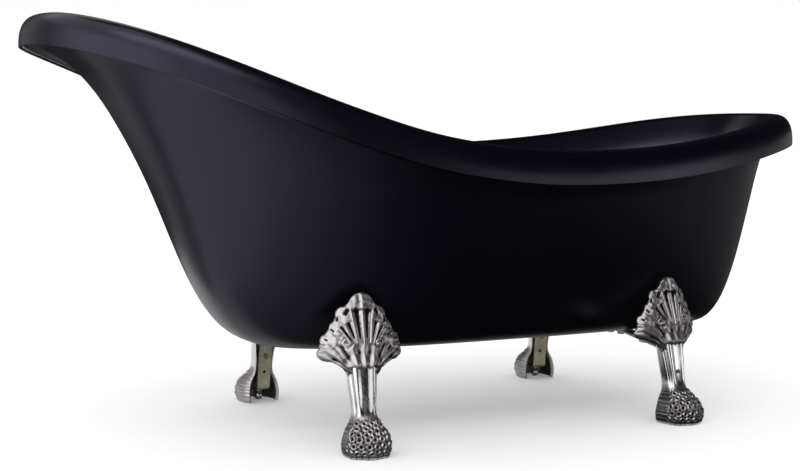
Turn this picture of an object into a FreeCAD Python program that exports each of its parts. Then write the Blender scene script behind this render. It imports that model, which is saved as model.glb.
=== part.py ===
import FreeCAD, Part
import math
import os

V = FreeCAD.Vector
UP = V(0, 0, 1)

# Driving dimensions of the bath, in millimetres. X runs along the bath from the
# slipper (head) end to the drain end, Y across it, and the feet stand on Z = 0.

# Plan of the rim
LENGTH = 1700.0
WIDTH = 740.0
RIM_SHIFT = 8.0              # widest point of the plan, measured from mid-length
RIM_SQUARE_HEAD = 2.45       # 2 is an ellipse, more is squarer
RIM_SQUARE_DRAIN = 2.24
STATIONS_AROUND = 48         # points round each section of the shells

# Height of the rim's crest: a uniform cubic through these control heights, spaced
# a fifth of the length apart, the first and last lying beyond the two ends
RIM_SWEEP = (809.0, 817.5, 692.0, 565.0, 548.5, 578.5, 648.0, 608.5)

# Section of the rim
CREST_REACH = 39.0           # crest to the lip's outer face
CREST_FULLNESS = 2.55        # 2 is a quarter ellipse, more is squarer
INNER_ROLL = 20.0            # radius from the crest down into the well
ROLL_SWEEP = {"head": 40.0, "drain": 52.0, "side": 63.0}    # degrees that the inner roll turns
LIP_HEIGHT = 63.5
LIP_SLIM_HEAD = 7.0          # how much shorter the lip is at the slipper end
LIP_TUCK = 59.0              # lip's outer face to the top of the hull's wall
LIP_REVEAL = 3.0             # lip's edge below the hull's flange
FLANGE_FILLET = 18.0
BOND_WIDTH = 2.6

# Hull: each rib is a cubic from the lip to the level bottom
HULL_BOTTOM = 172.0
BOTTOM_SHIFT = 12.0
BOTTOM_HEAD = 401.0
BOTTOM_DRAIN = 617.0
BOTTOM_INSET = 220.0         # rim's side to the level bottom's side
BOTTOM_HALF_WIDTH = WIDTH / 2 - BOTTOM_INSET
BOTTOM_SQUARE = 2.77
WALL_LEAN = {"head": 224.0, "drain": 42.0, "side": 30.0}
WALL_DROP = {"head": 156.0, "drain": 128.0, "side": 153.0}
BILGE_REACH = {"head": 184.0, "drain": 87.0, "side": 78.0}

# Skins and the board between them
INNER_SKIN = 6.0
OUTER_SKIN = 5.0
WELL_INSET_TOP = {"head": 38.0, "drain": 38.0, "side": 25.0}    # hull's to well's face under the rim
WELL_INSET = 46.0            # the same lower down
INSET_SPAN = 0.6             # share of a rib over which the inset grows
FLOOR_SPAN = 0.5             # share of a rib over which it settles to the floor's height
BOARD_THICKNESS = 25.0
BOARD_MARGIN = 12.0
SEAT = 0.3                   # bond line between parts that are glued or seated
THREAD_FIT = 0.05            # radial clearance of a thread or a shank

# Feet
FOOT_HEAD_X = -297.0
FOOT_DRAIN_X = 405.0
FOOT_OUT = 121.0             # level bottom's side to a foot's centre
FOOT_Y = BOTTOM_HALF_WIDTH + FOOT_OUT
FOOT_SPLAY = 8.0             # degrees that each foot turns towards its own end
CASTING_WALL = 6.0
CREST_FOCUS = 188.0          # height at which the ribs of the crest meet
CREST_AXIS = 112.0           # the crest bulges round an upright axis this far back
PAW_HEIGHT = 62.0
LEG_TOP = 190.0
PAW_OPENING = 30.0           # half width of the paw's open back

# Straps, pads and their fasteners
STRAP_WIDTH = 30.0
STRAP_THICKNESS = 4.0
STRAP_BEND = 9.0
STRAP_SHELF = 27.0           # height of the strap's lower flange
STRAP_HOLE = 3.6
STRAP_HOLE_Z = 66.0
PAD_THICKNESS = 3.0
PAD_MARGIN = 4.0
BOLT_REACH = (168.0, 198.0)  # from the foot's centre towards the bath's middle
BOLT_RADIUS = 4.0
BOLT_HEAD_ACROSS = 13.0
BOLT_HEAD_HEIGHT = 5.5
WASHER_RADIUS = 8.5
WASHER_THICKNESS = 1.6
INSERT_RADIUS = 6.5
INSERT_LENGTH = 20.0
SCREW_Z = 100.0
SCREW_RADIUS = 3.0
SCREW_HEAD_RADIUS = 5.8
SCREW_HEAD_HEIGHT = 2.5
SCREW_HEAD_TOP = 4.6
SCREW_PROUD = 0.8            # strap's back face to the screw's head
SCREW_SLOT = (1.2, 1.0)      # depth and width
SCREW_LENGTH = 16.0
BOSS_RADIUS = 7.0

# Levelling screws
LEVELLER_RADIUS = 4.0
LEVELLER_BALL = 10.0
LEVELLER_FLAT = 1.0          # depth of the flat ground on the ball
LEVELLER_LIFT = 1.0          # ball clear of the floor with the screw wound in
LEVELLER_TOP = 52.0
LEVELLER_Y = -4.0
NUT_ACROSS = 13.0
NUT_HEIGHT = 6.5
RUNNING_FIT = 0.08

# Waste
WASTE_X = 535.0
WASTE_HOLE = 26.0
WASTE_TUBE = 24.6            # flange's threaded tube
TAIL_RADIUS = 23.9           # threaded tail that the trap screws on to
WASTE_BORE = 20.0
WASTE_FLANGE = 35.0
FLANGE_THICKNESS = 3.0
FLANGE_SEAL = 1.5
BODY_SEAL = 3.0
BODY_FLANGE = 37.0
BODY_FLANGE_THICKNESS = 4.0
BODY_RADIUS = 29.0
BODY_DEPTH = 46.0
BODY_FLOOR = 3.0
TAIL_LENGTH = 38.0
BRIDGE_THICKNESS = 4.0
BRIDGE_WIDTH = 4.5
BRIDGE_SINK = 1.0            # tube's outer face to an arm's end
HUB_WALL = 3.0
FLANGE_ROUND = 1.8
SEAL_INSET = 1.0             # a waste seal inside its flange
CARTRIDGE_RADIUS = 7.0
CARTRIDGE_LENGTH = 24.0
STEM_RADIUS = 4.0
STEM_LENGTH = 30.0
PLUG_RADIUS = 31.0
PLUG_DOME = 5.0
PLUG_EDGE = 2.0
PLUG_SEAL_RADIUS = 1.5
PLUG_SEAL_OUT = 4.5          # waste's bore to the middle of the plug's seal
ACCESS_RADIUS = 52.0

# Overflow
OVERFLOW_Z = 495.0
OVERFLOW_HOLE = 26.0
COVER_RADIUS = 36.0
COVER_DEPTH = 10.0
COVER_WALL = 2.0
COVER_ROUND = 4.0
COVER_SLOT = 3.4
SEAL_LAP = 3.0               # an overflow seal's lip inside the hole's edge
COVER_SEAL = 6.5
BACK_SEAL = 3.0
ELBOW_FLANGE = 33.0
ELBOW_FLANGE_THICKNESS = 3.0
ELBOW_RADIUS = 20.0
ELBOW_DEPTH = 22.0
ELBOW_WALL = 3.0
SPOUT_LENGTH = 34.0
OVERFLOW_SCREW = 3.0
OVERFLOW_SCREW_HEAD = (6.0, 4.2, 1.5)    # wide and narrow radius, height
POST_RADIUS = 6.0
POST_SHORT = 1.0             # screw posts end this far inside
HOSE_RADIUS = 11.0
HOSE_BORE = 9.0
PIPE_BORE = 7.0
HOSE_OVERLAP = 16.0
HOSE_ROUTE = (0.9, 0.8, 0.62)    # corners between the skins, as shares of the drain end's rib
HOSE_CORNER = 0.45           # share of the shorter run that a bend takes up
HOSE_LEAD = 35.0             # straight run below the spout
HOSE_Z = HULL_BOTTOM + OUTER_SKIN + SEAT + BOARD_THICKNESS / 2
CLIP_WIDTH = 8.0
CLIP_THICKNESS = 1.2
SLOT_MARGIN = 3.0

FEET = {
    "head_near": (FOOT_HEAD_X, -FOOT_Y, -FOOT_SPLAY),
    "drain_near": (FOOT_DRAIN_X, -FOOT_Y, FOOT_SPLAY),
    "head_far": (FOOT_HEAD_X, FOOT_Y, 180 + FOOT_SPLAY),
    "drain_far": (FOOT_DRAIN_X, FOOT_Y, 180 - FOOT_SPLAY),
}
WELL_FLOOR = HULL_BOTTOM + OUTER_SKIN + SEAT + BOARD_THICKNESS + SEAT + INNER_SKIN


# Sections of the two shells

def signed_power(value, power):
    return math.copysign(abs(value) ** power, value)


def rim_height(x):
    """Height of the crest: a uniform cubic through the control heights."""
    along = (x + LENGTH / 2) / (LENGTH / 5)
    span = min(max(int(along), 0), 4)
    f = along - span
    weights = ((1 - f) ** 3, 3 * f**3 - 6 * f**2 + 4, -3 * f**3 + 3 * f**2 + 3 * f + 1, f**3)
    return sum(w * h for w, h in zip(weights, RIM_SWEEP[span:span + 4])) / 6


def rim_edge(angle):
    """Outermost point of the rim at an angle of its plan, and the outward normal there."""
    c, s = math.cos(angle), math.sin(angle)
    square = RIM_SQUARE_HEAD if c < 0 else RIM_SQUARE_DRAIN
    reach = LENGTH / 2 + math.copysign(RIM_SHIFT, -c)
    x = RIM_SHIFT + reach * signed_power(c, 2 / square)
    y = WIDTH / 2 * signed_power(s, 2 / square)
    steep = 2 - 2 / square
    normal = V(signed_power(c, steep) / reach, signed_power(s, steep) / (WIDTH / 2), 0)
    return V(x, y, rim_height(x)), normal.normalize()


def lip_height(angle):
    return LIP_HEIGHT - LIP_SLIM_HEAD * max(0.0, -math.cos(angle)) ** 4


def rim_point(angle, out, up):
    edge, normal = rim_edge(angle)
    return edge + normal * out + UP * up


def blend(angle, size):
    """One of the sizes that differ at the head end, the drain end and the sides."""
    c = math.cos(angle)
    head, drain = max(0.0, -c) ** 2, max(0.0, c) ** 2
    return size["head"] * head + size["drain"] * drain + size["side"] * (1 - head - drain)


def wall_point(angle, t):
    """Point on the hull's rib at this angle, t from 0 under the lip to 1 at the bottom."""
    edge, normal = rim_edge(angle)
    c, s = math.cos(angle), math.sin(angle)
    reach = BOTTOM_HEAD if c < 0 else BOTTOM_DRAIN
    top = edge - normal * LIP_TUCK - UP * lip_height(angle)
    bottom = V(BOTTOM_SHIFT + reach * signed_power(c, 2 / BOTTOM_SQUARE),
               BOTTOM_HALF_WIDTH * signed_power(s, 2 / BOTTOM_SQUARE), HULL_BOTTOM)
    high = top - normal * blend(angle, WALL_LEAN) - UP * blend(angle, WALL_DROP)
    low = bottom + normal * blend(angle, BILGE_REACH)
    u = 1 - t
    return top * u**3 + high * (3 * u * u * t) + low * (3 * u * t * t) + bottom * t**3


def turn():
    """Angles of the stations round the bath."""
    return [2 * math.pi * i / STATIONS_AROUND for i in range(STATIONS_AROUND)]


def wall_row(t):
    return [wall_point(a, t) for a in turn()]


def smooth(f):
    f = min(max(f, 0.0), 1.0)
    return f * f * (3 - 2 * f)


def well_inset(angle, t):
    """Distance from the hull's face to the well's face down a rib."""
    top = blend(angle, WELL_INSET_TOP)
    mid = top + (WELL_INSET - top) * (1 - max(1 - t / INSET_SPAN, 0.0) ** 2)
    return mid + (WELL_FLOOR - HULL_BOTTOM - WELL_INSET) * smooth((t - 1 + FLOOR_SPAN) / FLOOR_SPAN)


def offset(rows, distances):
    """Rows moved along their own surface's normal; the last row, level, moves straight up."""
    moved = []
    for j, row in enumerate(rows):
        before, after = rows[max(j - 1, 0)], rows[min(j + 1, len(rows) - 1)]
        line = []
        for i, point in enumerate(row):
            around = row[(i + 1) % len(row)] - row[i - 1]
            normal = around.cross(after[i] - before[i]).normalize()
            if j == len(rows) - 1:
                normal = UP
            line.append(point + normal * distances[j][i])
        moved.append(line)
    return moved


# Faces and solids from rows of points

def round_poles(row):
    """Control points of the closed uniform cubic that passes through a row's points."""
    poles = list(row)
    for _ in range(12):
        fitted = [(poles[i - 1] + poles[i] * 4 + poles[(i + 1) % len(row)]) * (1 / 6)
                  for i in range(len(row))]
        poles = [pole + (point - fit) for pole, point, fit in zip(poles, row, fitted)]
    return poles


def skin(rows):
    """Face through rows that each run once round, smooth both ways."""
    count = len(rows[0])
    poles = [round_poles(row) for row in rows]
    steps = [0.0]
    for above, below in zip(rows, rows[1:]):
        steps.append(steps[-1] + sum(a.distanceToPoint(b) for a, b in zip(above, below)) / count)
    columns = []
    for i in range(count):
        curve = Part.BSplineCurve()
        curve.interpolate(Points=[row[i] for row in poles], Parameters=steps)
        columns.append(curve.getPoles())
    surface = Part.BSplineSurface()
    surface.buildFromPolesMultsKnots(
        columns, [1] * (count + 1), curve.getMultiplicities(),
        [float(k) for k in range(count + 1)], curve.getKnots(), True, False, 3, curve.Degree)
    return surface.toShape()


def disc(row):
    """Level face inside one closed row."""
    curve = Part.BSplineCurve()
    count = len(row)
    curve.buildFromPolesMultsKnots(round_poles(row), [1] * (count + 1),
                                   [float(k) for k in range(count + 1)], True, 3)
    return Part.Face(Part.Wire(curve.toShape()))


def even(rows, thickness):
    """One thickness for every point of the rows."""
    return [[thickness] * len(row) for row in rows]


def closed(faces):
    shell = Part.makeShell(faces)
    shell.sewShape()
    solid = Part.makeSolid(shell)
    if solid.Volume < 0:
        solid.reverse()
    return solid


def cylinder(radius, height, base, axis=UP):
    return Part.makeCylinder(radius, height, base, axis)


def tube(outer, inner, height, base, axis=UP):
    return cylinder(outer, height, base, axis).cut(cylinder(inner, height, base, axis))


def hexagon(across, height, base):
    """Six-sided prism across its flats, standing on its base point."""
    radius = across / math.sqrt(3)
    corners = [base + V(radius * math.cos(k * math.pi / 3), radius * math.sin(k * math.pi / 3), 0)
               for k in range(7)]
    return Part.Face(Part.makePolygon(corners)).extrude(UP * height)


def rounded_path(points, radii):
    """Straight runs joined by tangent arcs."""
    edges = []
    start = points[0]
    for before, corner, after, radius in zip(points, points[1:], points[2:], radii):
        inward, outward = (before - corner).normalize(), (after - corner).normalize()
        half = inward.getAngle(outward) / 2
        leg = radius / math.tan(half)
        middle = (inward + outward).normalize()
        crown = corner + middle * (radius / math.sin(half) - radius)
        first, last = corner + inward * leg, corner + outward * leg
        edges.append(Part.LineSegment(start, first).toShape())
        edges.append(Part.Arc(first, crown, last).toShape())
        start = last
    edges.append(Part.LineSegment(start, points[-1]).toShape())
    return Part.Wire(edges)


def sweep(path, profile):
    return path.makePipeShell([profile], True, False)


def group(solids):
    return Part.makeCompound(solids)


# The bath's own shells

LIP_STEPS = (0.0, 12.0, 24.0, 36.0, 48.0, 60.0, 70.0, 80.0, 90.0)
ROLL_STEPS = 4
WALL_STEPS = (0.0, 0.1, 0.22, 0.35, 0.48, 0.6, 0.7, 0.78, 0.85, 0.91, 0.96, 1.0)


def rim_rows():
    """Lip's edge, up its outer face, over the crest and into the well."""
    rows = []
    for degrees in LIP_STEPS:
        a = math.radians(degrees)
        out = -CREST_REACH * (1 - max(math.cos(a), 0.0) ** (2 / CREST_FULLNESS))
        rise = math.sin(a) ** (2 / CREST_FULLNESS)
        rows.append([rim_point(b, out, -lip_height(b) * (1 - rise)) for b in turn()])
    for k in range(1, ROLL_STEPS + 1):
        row = []
        for b in turn():
            a = math.radians(blend(b, ROLL_SWEEP) * k / ROLL_STEPS)
            row.append(rim_point(b, -CREST_REACH - INNER_ROLL * math.sin(a), INNER_ROLL * (math.cos(a) - 1)))
        rows.append(row)
    return rows


def well_rows():
    ribs = [wall_row(t) for t in WALL_STEPS]
    return offset(ribs, [[well_inset(a, t) for a in turn()] for t in WALL_STEPS])


def inner_shell():
    """Well, rolled rim and turned-down lip: one sheet of even thickness."""
    face = rim_rows() + well_rows()
    back = offset(face, even(face, -INNER_SKIN))
    solid = closed([skin(face), skin(back), skin([face[0], back[0]]), disc(face[-1]), disc(back[-1])])
    drain = cylinder(WASTE_HOLE, 4 * INNER_SKIN, V(WASTE_X, 0, WELL_FLOOR - 3 * INNER_SKIN))
    spot, axis = overflow_seat()
    over = cylinder(OVERFLOW_HOLE, 6 * INNER_SKIN, spot - axis * 3 * INNER_SKIN, axis)
    return solid.cut(drain).cut(over)


def hull_rows():
    """Flange under the lip, its fillet, and the wall down to the level bottom."""
    rows = []
    edge_out = INNER_SKIN + BOND_WIDTH
    for out in (-edge_out, -(edge_out + LIP_TUCK - FLANGE_FILLET) / 2, FLANGE_FILLET - LIP_TUCK):
        rows.append([rim_point(a, out, LIP_REVEAL - lip_height(a)) for a in turn()])
    blend_end = WALL_STEPS[1]
    for f in (0.25, 0.5, 0.75):
        line = []
        for a in turn():
            start = rim_point(a, FLANGE_FILLET - LIP_TUCK, LIP_REVEAL - lip_height(a))
            corner = rim_point(a, -LIP_TUCK, LIP_REVEAL - lip_height(a))
            end = wall_point(a, blend_end)
            line.append(start * (1 - f) ** 2 + corner * (2 * f * (1 - f)) + end * f**2)
        rows.append(line)
    return rows + [wall_row(t) for t in WALL_STEPS[1:]]


def outer_shell():
    """Hull with a flange that is bonded inside the lip, open under the waste."""
    face = hull_rows()
    back = offset(face, even(face, OUTER_SKIN))
    solid = closed([skin(face), skin(back), skin([face[0], back[0]]), disc(face[-1]), disc(back[-1])])
    holes = [cylinder(ACCESS_RADIUS, 4 * OUTER_SKIN, V(WASTE_X, 0, HULL_BOTTOM - OUTER_SKIN))]
    for foot in FEET:
        for reach in BOLT_REACH:
            holes.append(place(foot, cylinder(BOLT_RADIUS + THREAD_FIT, 4 * OUTER_SKIN,
                                              V(0, reach, HULL_BOTTOM - OUTER_SKIN))))
    return solid.cut(holes)


def rim_bond():
    """Bead of adhesive between the hull's flange and the inside of the lip."""
    low, high = LIP_REVEAL, LIP_REVEAL + OUTER_SKIN
    outs = (-INNER_SKIN - SEAT, -INNER_SKIN - BOND_WIDTH + SEAT)
    corners = [(outs[0], low), (outs[0], high), (outs[1], high), (outs[1], low)]
    rows = [[rim_point(a, out, up - lip_height(a)) for a in turn()] for out, up in corners]
    return closed([skin([rows[k - 1], rows[k]]) for k in range(4)])


def base_board():
    """Board between the skins, slotted for the waste and the overflow hose."""
    ring = []
    for point in wall_row(1.0):
        inward = V(BOTTOM_SHIFT - point.x, -point.y, 0).normalize()
        ring.append(V(point.x, point.y, HULL_BOTTOM + OUTER_SKIN + SEAT) + inward * BOARD_MARGIN)
    board = disc(ring).extrude(UP * BOARD_THICKNESS)
    under = V(WASTE_X, 0, HULL_BOTTOM)
    cuts = [cylinder(BODY_FLANGE + SLOT_MARGIN, 4 * BOARD_THICKNESS, under)]
    half = HOSE_RADIUS + CLIP_THICKNESS + SLOT_MARGIN
    cuts.append(Part.makeBox(LENGTH, 2 * half, 4 * BOARD_THICKNESS, under - V(0, half, 0)))
    for foot in FEET:
        for reach in BOLT_REACH:
            cuts.append(place(foot, cylinder(INSERT_RADIUS + THREAD_FIT, INSERT_LENGTH,
                                             V(0, reach, HULL_BOTTOM + OUTER_SKIN + SEAT))))
    return board.cut(cuts)


# One claw foot, in its own frame: toes towards -Y, the bath towards +Y

def place(foot, shape):
    x, y, degrees = FEET[foot]
    placed = shape.copy()
    placed.rotate(V(0, 0, 0), UP, degrees)
    placed.translate(V(x, y, 0))
    return placed


def spline_wire(points, shift=V(0, 0, 0)):
    curve = Part.BSplineCurve()
    curve.interpolate(Points=[p + shift for p in points], PeriodicFlag=True)
    return Part.Wire(curve.toShape())


# Leg sections: height, half width, front and back along Y; the cheeks of a section
# and its shoulders are shares of the half width
LEG_SECTIONS = ((46.0, 25.0, -20.0, 26.0), (70.0, 22.5, -14.0, 25.0), (105.0, 24.0, -8.0, 29.0),
                (145.0, 28.0, -1.0, 33.0), (LEG_TOP, 31.0, 9.0, 40.0))

LEG_CHEEK = (0.72, 0.16)     # across, behind the front
LEG_SHOULDER = 0.75          # where the round front meets the straight side


def leg_wire(height, half, front, back, wall):
    """Round-fronted section, narrowed by the wall; with a wall its back runs out open."""
    half, front = half - wall, front + wall
    back = back + 3 * wall
    straight = front + half * LEG_SHOULDER
    first, last = V(-half, straight, height), V(half, straight, height)
    nose = Part.BSplineCurve()
    across, behind = half * LEG_CHEEK[0], front + half * LEG_CHEEK[1]
    nose.interpolate(Points=[first, V(-across, behind, height), V(0, front, height),
                             V(across, behind, height), last],
                     InitialTangent=V(0, -1, 0), FinalTangent=V(0, 1, 0))
    sides = Part.makePolygon([last, V(half, back, height), V(-half, back, height), first])
    return Part.Wire([nose.toShape()] + sides.Edges)


def leg_loft(wall):
    return Part.makeLoft([leg_wire(*section, wall) for section in LEG_SECTIONS], True, False)


# Paw sections: height, then half width, toe reach and heel reach
PAW_SECTIONS = ((0.0, 41.0, 50.0, 30.0), (16.0, 44.0, 54.0, 33.0), (34.0, 40.0, 47.0, 32.0),
                (50.0, 31.0, 34.0, 29.0), (PAW_HEIGHT, 24.0, 19.0, 25.5))
TOES = 4
TOE_SWELL = 0.05             # share that a toe stands out
PAW_SQUARE = 0.8             # power of the section, 1 is an ellipse
PAW_POINTS = 32


def paw_wire(height, half, toe, heel, wall):
    """Round section with a gentle swell for each toe across its front."""
    points = []
    for k in range(PAW_POINTS):
        a = 2 * math.pi * k / PAW_POINTS
        forward = max(0.0, -math.sin(a))
        swell = 1.0 + TOE_SWELL * forward * math.cos(TOES * 2 * (a + math.pi / 2)) * (1 - height / PAW_HEIGHT)
        reach = toe if math.sin(a) < 0 else heel
        points.append(V((half * swell - wall) * signed_power(math.cos(a), PAW_SQUARE),
                        (reach * swell - wall) * signed_power(math.sin(a), PAW_SQUARE), height))
    return spline_wire(points)


def paw_loft(wall, drop):
    return Part.makeLoft([paw_wire(h - drop, *sizes, wall) for h, *sizes in PAW_SECTIONS], True, False)


# Outline of the crest: lobes as (across, above the focus, lobe radius), top to bottom
CREST_LOBES = ((0.0, 84.0, 22.0), (33.0, 66.0, 16.0), (47.0, 42.0, 14.0),
               (62.0, 18.0, 15.0), (69.0, -8.0, 14.0), (50.0, -24.0, 12.0))
# Section of the crest's face: radius from its upright axis, and height
CREST_FACE = ((102.0, 140.0), (107.0, 165.0), (106.0, 195.0), (97.0, 230.0), (85.0, 268.0), (75.0, 300.0))
CREST_SWING = 100.0          # degrees that the face turns to each side
CREST_WALL = 7.5
CREST_DROP = 2.1             # inner face below the outer one


def crest_shell():
    """A bulging plate, cut to the lobed outline of the acanthus."""
    outer, inner = [], []
    for radius, height in CREST_FACE:
        outer.append(V(0, CREST_AXIS - radius, height))
        inner.append(V(0, CREST_AXIS - radius + CREST_WALL, height - CREST_DROP))
    edges = []
    for line in (outer, list(reversed(inner))):
        curve = Part.BSplineCurve()
        curve.interpolate(Points=line)
        edges.append(curve.toShape())
    joins = [Part.LineSegment(outer[-1], inner[-1]).toShape(), Part.LineSegment(inner[0], outer[0]).toShape()]
    band = Part.Face(Part.Wire([edges[0], joins[0], edges[1], joins[1]]))
    band.rotate(V(0, CREST_AXIS, 0), UP, -CREST_SWING)
    dome = band.revolve(V(0, CREST_AXIS, 0), UP, 2 * CREST_SWING)
    deep = 3 * CREST_AXIS
    left = [V(-x, -CREST_AXIS, CREST_FOCUS + z) for x, z, _ in reversed(CREST_LOBES)]
    right = [V(x, -CREST_AXIS, CREST_FOCUS + z) for x, z, _ in CREST_LOBES]
    web = Part.Face(Part.makePolygon(left + right[1:] + left[:1])).extrude(V(0, deep, 0))
    rounds = [cylinder(size, deep, centre, V(0, 1, 0))
              for side in (left[::-1], right) for centre, (_, _, size) in zip(side, CREST_LOBES)]
    return dome.common(web.fuse(rounds[1:]))


def claw_foot():
    """Hollow casting, open behind and below, with a boss for the strap's screw."""
    body = leg_loft(0.0).fuse([paw_loft(0.0, 0.0), crest_shell()])
    hollow = [leg_loft(CASTING_WALL), paw_loft(CASTING_WALL, CASTING_WALL)]
    hollow.append(Part.makeBox(2 * PAW_OPENING, FOOT_Y, PAW_HEIGHT - CASTING_WALL,
                               V(-PAW_OPENING, 0, -CASTING_WALL)))
    body = body.cut(hollow)
    boss_face = strap_y(SCREW_Z - BOSS_RADIUS) - SEAT
    boss = cylinder(BOSS_RADIUS, CREST_AXIS, V(0, boss_face, SCREW_Z), V(0, -1, 0))
    boss = boss.common(leg_loft(CASTING_WALL / 2))
    bore = cylinder(SCREW_RADIUS + THREAD_FIT, SCREW_LENGTH, V(0, strap_y(SCREW_Z), SCREW_Z), V(0, -1, 0))
    return body.fuse(boss).cut(bore).removeSplitter()


# Strap: it leans with the leg, then runs back to the hull's flat bottom

STRAP_ANKLE = 17.0
STRAP_KNEE = (31.0, 146.0)
STRAP_SEAT = 148.0
STRAP_END = 214.0
SHELF_END = -20.0


def strap_y(height):
    """Front face of the strap's leg at a height."""
    share = (height - STRAP_SHELF) / (STRAP_KNEE[1] - STRAP_SHELF)
    return STRAP_ANKLE + (STRAP_KNEE[0] - STRAP_ANKLE) * share - STRAP_THICKNESS / 2


def foot_strap():
    seat_z = HULL_BOTTOM - PAD_THICKNESS - STRAP_THICKNESS / 2
    points = [V(0, SHELF_END, STRAP_SHELF), V(0, STRAP_ANKLE, STRAP_SHELF), V(0, *STRAP_KNEE),
              V(0, STRAP_SEAT, seat_z), V(0, STRAP_END, seat_z)]
    path = rounded_path(points, [STRAP_BEND] * 3)
    w, t = STRAP_WIDTH / 2, STRAP_THICKNESS / 2
    corners = [V(-w, SHELF_END, STRAP_SHELF - t), V(w, SHELF_END, STRAP_SHELF - t),
               V(w, SHELF_END, STRAP_SHELF + t), V(-w, SHELF_END, STRAP_SHELF + t)]
    strip = sweep(path, Part.makePolygon(corners + [corners[0]]))
    across = V(0, -1, 0)
    cuts = [cylinder(LEVELLER_RADIUS + 5 * RUNNING_FIT, 4 * STRAP_THICKNESS,
                     V(0, LEVELLER_Y, STRAP_SHELF - 2 * STRAP_THICKNESS))]
    cuts.append(cylinder(STRAP_HOLE, 6 * STRAP_THICKNESS,
                         V(0, 2 * STRAP_BEND + STRAP_ANKLE, STRAP_HOLE_Z), across))
    cuts.append(cylinder(SCREW_RADIUS + THREAD_FIT, 6 * STRAP_THICKNESS,
                         V(0, 2 * STRAP_BEND + STRAP_ANKLE, SCREW_Z), across))
    for reach in BOLT_REACH:
        cuts.append(cylinder(BOLT_RADIUS + THREAD_FIT, 4 * STRAP_THICKNESS,
                             V(0, reach, seat_z - 2 * STRAP_THICKNESS)))
    return strip.cut(cuts)


def hull_pad():
    """Soft pad between the strap's upper flange and the hull's bottom."""
    half = STRAP_WIDTH / 2 + PAD_MARGIN
    start = BOLT_REACH[0] - half
    pad = Part.makeBox(2 * half, BOLT_REACH[1] + half - start, PAD_THICKNESS,
                       V(-half, start, HULL_BOTTOM - PAD_THICKNESS))
    holes = [cylinder(BOLT_RADIUS + THREAD_FIT, 3 * PAD_THICKNESS,
                      V(0, reach, HULL_BOTTOM - 2 * PAD_THICKNESS)) for reach in BOLT_REACH]
    return pad.cut(holes)


def strap_under():
    return HULL_BOTTOM - PAD_THICKNESS - STRAP_THICKNESS


def strap_bolt(reach):
    head_top = strap_under() - WASHER_THICKNESS
    shank = HULL_BOTTOM + OUTER_SKIN + SEAT + INSERT_LENGTH - head_top - THREAD_FIT
    head = hexagon(BOLT_HEAD_ACROSS, BOLT_HEAD_HEIGHT, V(0, reach, head_top - BOLT_HEAD_HEIGHT))
    return head.fuse(cylinder(BOLT_RADIUS, shank, V(0, reach, head_top))).removeSplitter()


def strap_washer(reach):
    return tube(WASHER_RADIUS, BOLT_RADIUS + THREAD_FIT, WASHER_THICKNESS,
                V(0, reach, strap_under() - WASHER_THICKNESS))


def board_insert(reach):
    return tube(INSERT_RADIUS, BOLT_RADIUS + THREAD_FIT, INSERT_LENGTH,
                V(0, reach, HULL_BOTTOM + OUTER_SKIN + SEAT))


def casting_screw():
    """Countersunk screw through the strap's leg into the casting's boss."""
    seat = V(0, strap_y(SCREW_Z) + STRAP_THICKNESS + SCREW_PROUD, SCREW_Z)
    head = Part.makeCone(SCREW_HEAD_RADIUS, SCREW_HEAD_TOP, SCREW_HEAD_HEIGHT,
                         seat + V(0, SCREW_HEAD_HEIGHT, 0), V(0, -1, 0))
    shank = cylinder(SCREW_RADIUS, SCREW_LENGTH, seat, V(0, -1, 0))
    depth, width = SCREW_SLOT
    slot = Part.makeBox(SCREW_HEAD_RADIUS * 2, depth, width,
                        seat + V(-SCREW_HEAD_RADIUS, SCREW_HEAD_HEIGHT - depth, -width / 2))
    return head.fuse(shank).cut(slot).removeSplitter()


def leveller():
    """Adjusting screw with a ball foot, wound in."""
    centre = V(0, LEVELLER_Y, LEVELLER_LIFT + LEVELLER_BALL)
    ball = Part.makeSphere(LEVELLER_BALL, centre)
    flat = Part.makeBox(4 * LEVELLER_BALL, 4 * LEVELLER_BALL, LEVELLER_BALL,
                        V(-2 * LEVELLER_BALL, LEVELLER_Y - 2 * LEVELLER_BALL,
                          LEVELLER_LIFT + LEVELLER_FLAT - LEVELLER_BALL))
    rod = cylinder(LEVELLER_RADIUS, LEVELLER_TOP - centre.z, centre)
    return ball.cut(flat).fuse(rod).removeSplitter()


def leveller_nut():
    base = V(0, LEVELLER_Y, STRAP_SHELF + STRAP_THICKNESS / 2)
    bore = cylinder(LEVELLER_RADIUS + RUNNING_FIT, NUT_HEIGHT, base)
    return hexagon(NUT_ACROSS, NUT_HEIGHT, base).cut(bore)


# Waste: flange, plug, cartridge and body on one upright axis

def at_waste(height):
    return V(WASTE_X, 0, height)


SEAL_TOP = WELL_FLOOR + FLANGE_SEAL
FLANGE_TOP = SEAL_TOP + FLANGE_THICKNESS
BODY_TOP = WELL_FLOOR - INNER_SKIN - BODY_SEAL
BODY_END = BODY_TOP - BODY_DEPTH
TUBE_END = BODY_END + BODY_FLOOR


def flange_seal():
    return tube(WASTE_FLANGE - SEAL_INSET, WASTE_TUBE + THREAD_FIT, FLANGE_SEAL, at_waste(WELL_FLOOR))


def body_seal():
    return tube(BODY_FLANGE - SEAL_INSET, WASTE_TUBE + THREAD_FIT, BODY_SEAL, at_waste(BODY_TOP))


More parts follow.
